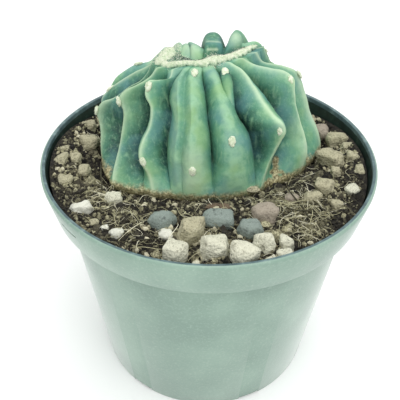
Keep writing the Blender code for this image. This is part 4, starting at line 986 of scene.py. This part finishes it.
def make_pot():
    """Thin moulded pot, turned, with its drainage holes, foot notches and label slot cut."""
    foot_inner = FOOT_RADIUS - FOOT_RING
    lip_inner = RIM_RADIUS - LIP_WIDTH
    profile = [
        (foot_inner - EDGE, FLOOR_RISE), (foot_inner - 0.1, 0.15), (foot_inner + 0.2, 0.0),
        (FOOT_RADIUS - EDGE, 0.0), (FOOT_RADIUS - 0.2, 0.15), (FOOT_RADIUS, EDGE), (NECK_RADIUS, COLLAR_FOOT),
        (COLLAR_FOOT_RADIUS - EDGE, COLLAR_FOOT), (COLLAR_FOOT_RADIUS - 0.2, COLLAR_FOOT + 0.15),
        (COLLAR_FOOT_RADIUS, COLLAR_FOOT + EDGE), (RIM_RADIUS - 0.2, POT_HEIGHT - 1.4),
        (RIM_RADIUS - 0.25, POT_HEIGHT - 0.5), (RIM_RADIUS - 0.5, POT_HEIGHT - 0.12),
        (RIM_RADIUS - 0.9, POT_HEIGHT), (lip_inner + EDGE, POT_HEIGHT), (lip_inner + 0.15, POT_HEIGHT - 0.15),
        (lip_inner, POT_HEIGHT - EDGE), (pot_inner_radius(LIP_FOOT), LIP_FOOT), (pot_inner_radius(LEDGE), LEDGE),
        (pot_inner_radius(COLLAR_FOOT), LEDGE - 0.3), (pot_inner_radius(FLOOR_TOP) - 0.3, FLOOR_TOP + WALL),
        (pot_inner_radius(FLOOR_TOP) - WALL, FLOOR_TOP),
    ]
    bm = bmesh.new()
    rings = [[bm.verts.new(point) for point in circle(radius, height, POT_SIDES)] for radius, height in profile]
    join_rings(bm, rings)
    close_ring(bm, rings[0], (0.0, 0.0, FLOOR_RISE))
    close_ring(bm, rings[-1], (0.0, 0.0, FLOOR_TOP))
    pot = placed("pot_blank", finished_mesh(bm, "pot_blank"))
    slot_radius = COLLAR_FOOT_RADIUS
    slot_radius += (SLOT_LEVEL - COLLAR_FOOT) / COLLAR_HEIGHT * (RIM_RADIUS - COLLAR_FOOT_RADIUS)
    notch = ((3 * FOOT_RING, NOTCH_WIDTH, 2 * NOTCH_HEIGHT), (FOOT_RADIUS - FOOT_RING / 2, 0.0, 0.0))
    blocks = [(*notch, NOTCH_TURN + 360 * (number + 0.5) / FOOT_NOTCHES) for number in range(FOOT_NOTCHES)]
    blocks.append((SLOT_SIZE, (slot_radius, 0.0, SLOT_LEVEL), SLOT_TURN))
    group = bpy.data.collections.new("pot_cutters")
    bpy.context.scene.collection.children.link(group)
    cutters = []
    for size, centre, turn in blocks:
        bm = bmesh.new()
        place = Matrix.Rotation(math.radians(turn), 4, "Z") @ Matrix.Translation(centre)
        bmesh.ops.create_cube(bm, size=1.0, matrix=place @ Matrix.Diagonal((*size, 1.0)))
        cutters.append(bm)
    for centre in circle(DRAIN_CIRCLE, FLOOR_RISE + FLOOR / 2, DRAIN_HOLES):
        bm = bmesh.new()
        bmesh.ops.create_cone(bm, cap_ends=True, segments=DRAIN_SIDES, radius1=DRAIN_RADIUS,
                              radius2=DRAIN_RADIUS, depth=FLOOR + 2.0, matrix=Matrix.Translation(centre))
        cutters.append(bm)
    for bm in cutters:
        group.objects.link(bpy.data.objects.new("cutter", finished_mesh(bm, "cutter")))
    modifier = pot.modifiers.new("cuts", "BOOLEAN")
    modifier.operation = "DIFFERENCE"
    modifier.solver = "EXACT"
    modifier.operand_type = "COLLECTION"
    modifier.collection = group
    mesh = bpy.data.meshes.new_from_object(pot.evaluated_get(bpy.context.evaluated_depsgraph_get()))
    for tool in [*group.objects, pot]:
        bpy.data.objects.remove(tool)
    bpy.data.collections.remove(group)
    mesh.materials.append(pot_material())
    for name in ("shade_painted_polypropylene", "dark_lip_polypropylene"):
        mesh.materials.append(plain_material(name))
    outside, shaded_inside, dark_lip = range(3)
    # Faces of the inner wall take the painted shade of the inside
    for face in mesh.polygons:
        middle = face.center / MM
        radius = math.hypot(middle.x, middle.y)
        inward_part = -(face.normal.x * middle.x + face.normal.y * middle.y) / radius
        if middle.z > LIP_FOOT and radius < RIM_RADIUS - 0.95:
            face.material_index = dark_lip
        elif middle.z > FLOOR_TOP - 0.5 and inward_part > 0.2:
            face.material_index = shaded_inside if radius < lip_inner + 0.05 else outside
        elif middle.z > FLOOR_TOP - 0.5 and radius < pot_inner_radius(FLOOR_TOP):
            face.material_index = shaded_inside
    mesh.shade_smooth()
    mesh.set_sharp_from_angle(angle=math.radians(SHARP_TURN))
    return mesh


def banked(x, y):
    """How far the litter is banked up against the pot's wall."""
    wall = pot_inner_radius(MIX_LEVEL)
    near = min(max((math.hypot(x, y) - wall + BANK_WIDTH) / BANK_WIDTH, 0.0), 1.0)
    lift = 0.0
    for turn, spread, height in BANKS:
        apart = (math.degrees(math.atan2(y, x)) - turn + 180.0) % 360.0 - 180.0
        lift += height * math.exp(-((apart / spread) ** 2))
    return lift * near * near * (3.0 - 2.0 * near)


def mix_height(x, y):
    """Height of the potting mix, a little higher at the front and where it is banked up."""
    (across, across_rate, start), (deep, deep_rate) = MIX_SWELL
    swell = across * math.sin(across_rate * x + start) + deep * math.cos(deep_rate * y)
    return MIX_LEVEL + swell + FRONT_RISE * min(max(-y / NECK_RADIUS, 0.0), 1.0) + banked(x, y)


def mix_surface(outline):
    """Rings of the crumbly top of the mix, from under the plant's foot to the pot's wall."""
    centre = np.array(BODY_CENTRE)
    rim = pot_inner_radius(MIX_LEVEL) - MIX_INSET
    angles = np.arctan2(outline[:, 1] - centre[1], outline[:, 0] - centre[0])
    reach = np.hypot(outline[:, 0] - centre[0], outline[:, 1] - centre[1])
    order = np.argsort(angles)
    at_wall, at_plant, from_plant = CRUMB_FADE
    rings = []
    for share in np.arange(MIX_RINGS + 1) / MIX_RINGS:
        ring = []
        for i in range(MIX_SIDES):
            angle = -math.pi + 2 * math.pi * i / MIX_SIDES
            arm = np.array((math.cos(angle), math.sin(angle)))
            foot = np.interp(angle, angles[order], reach[order], period=2 * math.pi) - MIX_OVERLAP
            inner = centre + arm * foot
            half = np.dot(centre, arm)
            outer = centre + arm * (math.sqrt(half * half - np.dot(centre, centre) + rim * rim) - half)
            x, y = inner + share * (outer - inner)
            edge = min(1.0, (1.0 - share) * at_wall, at_plant + share * from_plant)
            out = np.linalg.norm(outer - inner) * share
            hollow = FOOT_HOLLOW * math.exp(-((out / FOOT_HOLLOW_REACH) ** 2))
            ring.append((x, y, mix_height(x, y) + relief(Vector((x, y, 0.0)), CRUMB_RELIEF) * edge - hollow))
        rings.append(ring)
    return rings


def make_mix(outline):
    """The potting mix, closed down to the pot's floor."""
    rings = mix_surface(outline)
    rim = math.hypot(*rings[-1][0][:2])
    foot = pot_inner_radius(FLOOR_TOP)
    for radius, height in (
        (pot_inner_radius(LEDGE) - MIX_GAP, LEDGE + MIX_GAP), (pot_inner_radius(COLLAR_FOOT) - MIX_GAP, LEDGE),
        (foot - 2 * MIX_GAP, FLOOR_TOP + WALL + MIX_GAP), (foot - WALL - MIX_GAP, FLOOR_TOP + MIX_GAP),
    ):
        rings.append([(x * radius / rim, y * radius / rim, height) for x, y, _ in rings[-1]])
        rim = radius
    bm = bmesh.new()
    made = [[bm.verts.new(point) for point in ring] for ring in rings]
    join_rings(bm, made)
    close_ring(bm, made[0], (*BODY_CENTRE, MIX_LEVEL - 1.0))
    close_ring(bm, made[-1], (0.0, 0.0, FLOOR_TOP + MIX_GAP))
    return finished_mesh(bm, "mix")


def make_stone(node, seed, slot):
    """A stone worked up from its solid: its edges blunted and its faces roughened."""
    bm = bmesh.new()
    bm.from_mesh(frame["nodes"][node].data)
    bmesh.ops.remove_doubles(bm, verts=bm.verts, dist=0.01 * MM)
    middle = sum((vertex.co for vertex in bm.verts), Vector()) / len(bm.verts)
    bmesh.ops.subdivide_edges(bm, edges=bm.edges, cuts=STONE_CUTS, use_grid_fill=True)
    for _ in range(BLUNTING_PASSES[slot]):
        bmesh.ops.smooth_vert(bm, verts=bm.verts, factor=0.5, use_axis_x=True, use_axis_y=True, use_axis_z=True)
    bm.normal_update()
    shift = seed * Vector(STONE_SHIFT)
    depth, size, most = CHIPS
    for vertex in bm.verts:
        place = (vertex.co - middle) / MM + shift
        chipped = depth * min(0.0, noise.noise(place / size) + most)
        vertex.co += vertex.normal * (STONE_SWELL + chipped + relief(place, STONE_RELIEF)) * MM
    mesh = bpy.data.meshes.new(node + "_worked")
    bm.to_mesh(mesh)
    bm.free()
    return mesh


def lump_shape(seed, size, cuts):
    """A small broken lump of twenty faces, or of eighty with two cuts."""
    rng = random.Random(seed)
    bm = bmesh.new()
    bmesh.ops.create_icosphere(bm, subdivisions=cuts, radius=0.5)
    for vertex in bm.verts:
        vertex.co *= rng.uniform(*LUMP_REACH)
        vertex.co *= Vector(size)
    return finished_mesh(bm, "lump")


def strand_shape(seed, length, radius, bow, segments):
    """A thin bent strand of three sides, lying flat."""
    rng = random.Random(seed)
    bm = bmesh.new()
    rings = []
    wander = [rng.uniform(-1.0, 1.0) for _ in range(4)]
    for i in range(segments + 1):
        share = i / segments
        half, whole = math.sin(math.pi * share), math.sin(2 * math.pi * share)
        y = bow * (half * wander[0] + 0.5 * whole * wander[1])
        z = 0.35 * bow * (half + 0.6 * wander[2] * whole)
        thin = radius * (0.35 + 0.65 * math.sin(math.pi * min(max(share, 0.08), 0.92)))
        rings.append([bm.verts.new(((share - 0.5) * length, y + across, z + above))
                      for across, above, _ in circle(thin, 0.0, 3)])
    join_rings(bm, rings)
    bm.faces.new(rings[0])
    bm.faces.new(rings[-1])
    return finished_mesh(bm, "strand")


def make_straws():
    """The few long straws that lie on the mix."""
    bm = bmesh.new()
    for points, radius in STRAWS:
        line = [(x, y, mix_height(x, y) + rise) for x, y, rise in points]
        add_rod(bm, line, [share * radius for share in STRAW_TAPER], STRAW_SIDES, STRAW_STEPS)
    return finished_mesh(bm, "straws")


def make_flake():
    """A yellowish flake of cork against the plant's foot."""
    bm = bmesh.new()
    bmesh.ops.create_icosphere(bm, subdivisions=4, radius=0.5)
    for vertex in bm.verts:
        shape = vertex.co.copy()
        shape *= 1.0 + sum(height * noise.noise(shape * rate) for height, rate in FLAKE_LUMPS)
        vertex.co = Vector(FLAKE_PLACE) + shape * Vector(FLAKE_SIZE) + Vector((0.0, 0.0, FLAKE_LEAN * shape.x))
    return finished_mesh(bm, "flake")


def hair_shape(length, radius):
    """A short hair standing on its root."""
    bm = bmesh.new()
    bmesh.ops.create_cone(bm, cap_ends=False, segments=3, radius1=radius, radius2=0.0, depth=length,
                          matrix=Matrix.Translation((0.0, 0.0, length / 2)))
    return finished_mesh(bm, "hair")


def scatter_tree():
    """A tree that spreads copies of a small shape over a surface.

    Its inputs are the surface, the shape, how many lie on a square metre, the seed, the smallest
    and largest size, how far they tip, how deep they sit and the material.
    """
    tree = bpy.data.node_groups.new("scatter", "GeometryNodeTree")
    wanted = (("Surface", "NodeSocketGeometry"), ("Shape", "NodeSocketObject"), ("Density", "NodeSocketFloat"),
              ("Seed", "NodeSocketInt"), ("Smallest", "NodeSocketFloat"), ("Largest", "NodeSocketFloat"),
              ("Tip", "NodeSocketFloat"), ("Sink", "NodeSocketFloat"), ("Finish", "NodeSocketMaterial"))
    for name, kind in wanted:
        tree.interface.new_socket(name=name, in_out="INPUT", socket_type=kind)
    tree.interface.new_socket(name="Pieces", in_out="OUTPUT", socket_type="NodeSocketGeometry")
    start = add_node(tree, "NodeGroupInput").outputs
    seed, tip = start["Seed"], start["Tip"]
    thick = add_node(tree, "GeometryNodeInputNamedAttribute", {"data_type": "FLOAT", "Name": "thick"})
    amount = add_node(tree, "ShaderNodeMath", {"operation": "MULTIPLY"}, {0: start["Density"], 1: thick})
    points = add_node(tree, "GeometryNodeDistributePointsOnFaces", {"distribute_method": "RANDOM"},
                      {"Mesh": start["Surface"], "Density": amount, "Seed": seed}).outputs
    shape = add_node(tree, "GeometryNodeObjectInfo", None, {"Object": start["Shape"]}).outputs
    size = add_node(tree, "FunctionNodeRandomValue", {"data_type": "FLOAT"},
                    {2: start["Smallest"], 3: start["Largest"], "Seed": seed}).outputs
    minus = add_node(tree, "ShaderNodeMath", {"operation": "MULTIPLY", 1: -1.0}, {0: tip})
    low = add_node(tree, "ShaderNodeCombineXYZ", None, {"X": minus, "Y": minus})
    high = add_node(tree, "ShaderNodeCombineXYZ", {"Z": 2 * math.pi}, {"X": tip, "Y": tip})
    spin = add_node(tree, "FunctionNodeRandomValue", {"data_type": "FLOAT_VECTOR"},
                    {0: low, 1: high, "Seed": seed})
    turned = add_node(tree, "FunctionNodeRotateRotation", {"rotation_space": "LOCAL"},
                      {"Rotation": points["Rotation"], "Rotate By": spin})
    copies = add_node(tree, "GeometryNodeInstanceOnPoints", None, {
        "Points": points["Points"], "Instance": shape["Geometry"], "Rotation": turned, "Scale": size[1]})
    deep = add_node(tree, "ShaderNodeCombineXYZ", None, {"Z": start["Sink"]})
    sunk = add_node(tree, "GeometryNodeTranslateInstances", {"Local Space": False},
                    {"Instances": copies, "Translation": deep})
    shade = add_node(tree, "FunctionNodeRandomValue", {"data_type": "FLOAT"}, {"Seed": seed})
    kept = add_node(tree, "GeometryNodeStoreNamedAttribute",
                    {"data_type": "FLOAT", "domain": "INSTANCE", "Name": "tint"},
                    {"Geometry": sunk, "Value": shade.outputs[1]})
    real = add_node(tree, "GeometryNodeRealizeInstances", None, {"Geometry": kept})
    dressed = add_node(tree, "GeometryNodeSetMaterial", None, {"Geometry": real, "Material": start["Finish"]})
    add_node(tree, "NodeGroupOutput", None, {"Pieces": dressed})
    return tree


SCATTER = scatter_tree()


def scattered(name, surface, shape, density, seed, sizes, tip, sink, material):
    """A piece made of copies of a shape spread over a surface mesh."""
    ground = placed(name + "_ground", surface)
    pattern = bpy.data.objects.new(name + "_shape", shape)
    modifier = ground.modifiers.new("scatter", "NODES")
    modifier.node_group = SCATTER
    keys = {item.name: item.identifier for item in SCATTER.interface.items_tree if item.in_out == "INPUT"}
    values = {"Shape": pattern, "Density": density, "Seed": seed, "Smallest": sizes[0], "Largest": sizes[1],
              "Tip": tip, "Sink": sink * MM, "Finish": material}
    for key, value in values.items():
        modifier[keys[key]] = value
    mesh = bpy.data.meshes.new_from_object(ground.evaluated_get(bpy.context.evaluated_depsgraph_get()))
    bpy.data.objects.remove(ground)
    bpy.data.objects.remove(pattern)
    return make_piece(name, mesh, material, smooth=False)


def litter_ground(rings, wall_gap, patches):
    """The open top of the mix, with how thickly a kind of litter lies on each part of it."""
    points = [point for ring in rings for point in ring]
    mesh = bpy.data.meshes.new("litter_ground")
    mesh.from_pydata([tuple(c * MM for c in point) for point in points], [], ring_faces(len(rings), MIX_SIDES))
    if mesh.polygons[0].normal.z < 0:
        mesh.flip_normals()
    wall = pot_inner_radius(MIX_LEVEL)
    least, most, size = LITTER_SPREAD
    thick = []
    for number, (x, y, _) in enumerate(points):
        inside = min(max((wall - wall_gap - math.hypot(x, y)) / LITTER_FADE, 0.0), 1.0)
        uneven = least + most * max(0.0, 0.5 + noise.noise(Vector((x, y, wall_gap)) / size))
        if patches:
            uneven = PATCHED_SHARE * uneven
            for px, py, reach, amount in patches:
                uneven += amount * math.exp(-((x - px) ** 2 + (y - py) ** 2) / (reach * reach))
        thick.append(inside * uneven * (number >= 2 * MIX_SIDES))
    set_values(mesh, "thick", thick)
    return mesh


def thickened(mesh):
    """A copy of a mesh that is wholly covered by what is spread on it."""
    copy = mesh.copy()
    set_values(copy, "thick", np.ones(len(copy.vertices)))
    return copy


def fringe_ground(skin):
    """A copy of the skin with the wool's fringe marked on it, thick beside the strip and soon gone."""
    copy = skin.copy()
    _, line, widths, spread, _ = wool_stations()
    places = np.empty(3 * len(copy.vertices), dtype=np.float32)
    copy.vertices.foreach_get("co", places)
    places = places.reshape(-1, 3) / MM
    apart = np.full(len(places), FRINGE_REACH)
    for point, width in zip(line, widths * spread):
        apart = np.minimum(apart, np.linalg.norm(places - point, axis=1) - width)
    set_values(copy, "thick", np.clip(1.0 - apart / FRINGE_REACH, 0.0, 1.0))
    return copy


def make_stage():
    """A plain pale floor and soft studio light."""
    mesh = bpy.data.meshes.new("floor")
    corners = [(x * FLOOR_REACH, y * FLOOR_REACH, 0) for x, y in ((-1, -1), (1, -1), (1, 1), (-1, 1))]
    mesh.from_pydata(corners, [], [(0, 1, 2, 3)])
    floor = placed("floor", mesh)
    material, _, shader, _ = new_material("pale_floor", 0.9, ())
    shader.inputs["Base Color"].default_value = linear("FAFAFA")
    mesh.materials.append(material)
    world = bpy.data.worlds.new("studio")
    world.use_nodes = True
    world.node_tree.nodes["Background"].inputs["Color"].default_value = linear("FDFEFD")
    world.node_tree.nodes["Background"].inputs["Strength"].default_value = 1.0
    bpy.context.scene.world = world
    for name, place, size, energy in LIGHTS:
        light = bpy.data.lights.new(name, "AREA")
        light.size = size
        light.energy = energy
        direction = Vector(LIGHTS_AIM) - Vector(place)
        turn = direction.to_track_quat("-Z", "Y").to_matrix().to_4x4()
        placed(name, light).matrix_world = Matrix.Translation(place) @ turn
    bpy.context.scene.view_settings.view_transform = "Standard"


def make_camera():
    """The camera at the photograph's place and angle."""
    data = bpy.data.cameras.new("camera")
    data.sensor_width = CAMERA_SENSOR
    data.lens = CAMERA_LENS
    camera = placed("camera", data)
    place = Vector(CAMERA_PLACE)
    forward = (Vector(CAMERA_AIM) - place).normalized()
    right = forward.cross(Vector((0.0, 0.0, 1.0))).normalized()
    up = right.cross(forward)
    across = math.cos(CAMERA_ROLL) * right + math.sin(CAMERA_ROLL) * up
    above = -math.sin(CAMERA_ROLL) * right + math.cos(CAMERA_ROLL) * up
    matrix = Matrix((across, above, -forward)).transposed().to_4x4()
    matrix.translation = place * MM
    camera.matrix_world = matrix
    bpy.context.scene.camera = camera


def main():
    make_camera()
    make_stage()
    skin = skin_material()
    felt = felt_material("matted_plant_felt", FELT_STOPS)
    tuft = felt_material("areole_felt", AREOLE_STOPS)
    grown = make_skin()
    make_piece("cactus_skin", grown, skin, ("cactus",))
    make_piece("wedge_rib", make_wedge(), skin)
    areoles = make_areoles()
    make_piece("areoles", areoles, tuft)
    wool = make_wool()
    make_piece("crest_wool_strip", wool, felt, ("crest_wool",))
    strands = felt_material("loose_plant_felt", HAIR_STOPS)
    hair = hair_shape(HAIR_LENGTH, HAIR_RADIUS)
    for name, ground, density, seed, sizes, tip, finish in (
        ("crest_hairs", thickened(wool), 1.2e7, 3, (0.5, 1.2), 1.3, strands),
        ("fringe_hairs", fringe_ground(grown), 1.8e7, 4, (0.5, 1.3), 1.35, strands),
        ("areole_hairs", thickened(areoles), 6.0e6, 5, (0.4, 0.8), 0.9, tuft),
    ):
        scattered(name, ground, hair, density, seed, sizes, tip, 0.0, finish)
    make_piece("nursery_pot", make_pot(), None, ("pot",), smooth=False)

    outline = body_rings()[0][-1]
    make_piece("potting_mix", make_mix(outline), plain_material("damp_peat"), ("soil",))
    surface = mix_surface(outline)
    finishes = {name: litter_material(name, stops) for name, (stops, _) in LITTER_FINISHES.items()}
    shapes = {"lump": lump_shape, "strand": strand_shape}
    for name, kind, form, density, seed, sizes, tip, lift, wall_gap, patches, finish in LITTER:
        ground = litter_ground(surface, wall_gap, patches)
        slot = LITTER_FINISHES[finish][1]
        scattered(name, ground, shapes[kind](*form), density, seed, sizes, tip, lift, finishes[finish])
    make_piece("straws", make_straws(), finishes["husk_fibre"])

    slots = {item["node"]: item["material_slot"] for item in frame["record"]["subparts"]}
    looks = {slot: stone_material(slot) for slot in STONE_LOOKS}
    make_piece("cork_flake", make_flake(), looks["stone_tan"])
    for number, node in enumerate(sorted(name for name in frame["nodes"] if name.startswith("stone_"))):
        slot = slots[node]
        look = looks[DULL_STONES.get(node, slot)]
        make_piece("dressed_" + node, make_stone(node, number + 1, slot), look, (node,))


main()
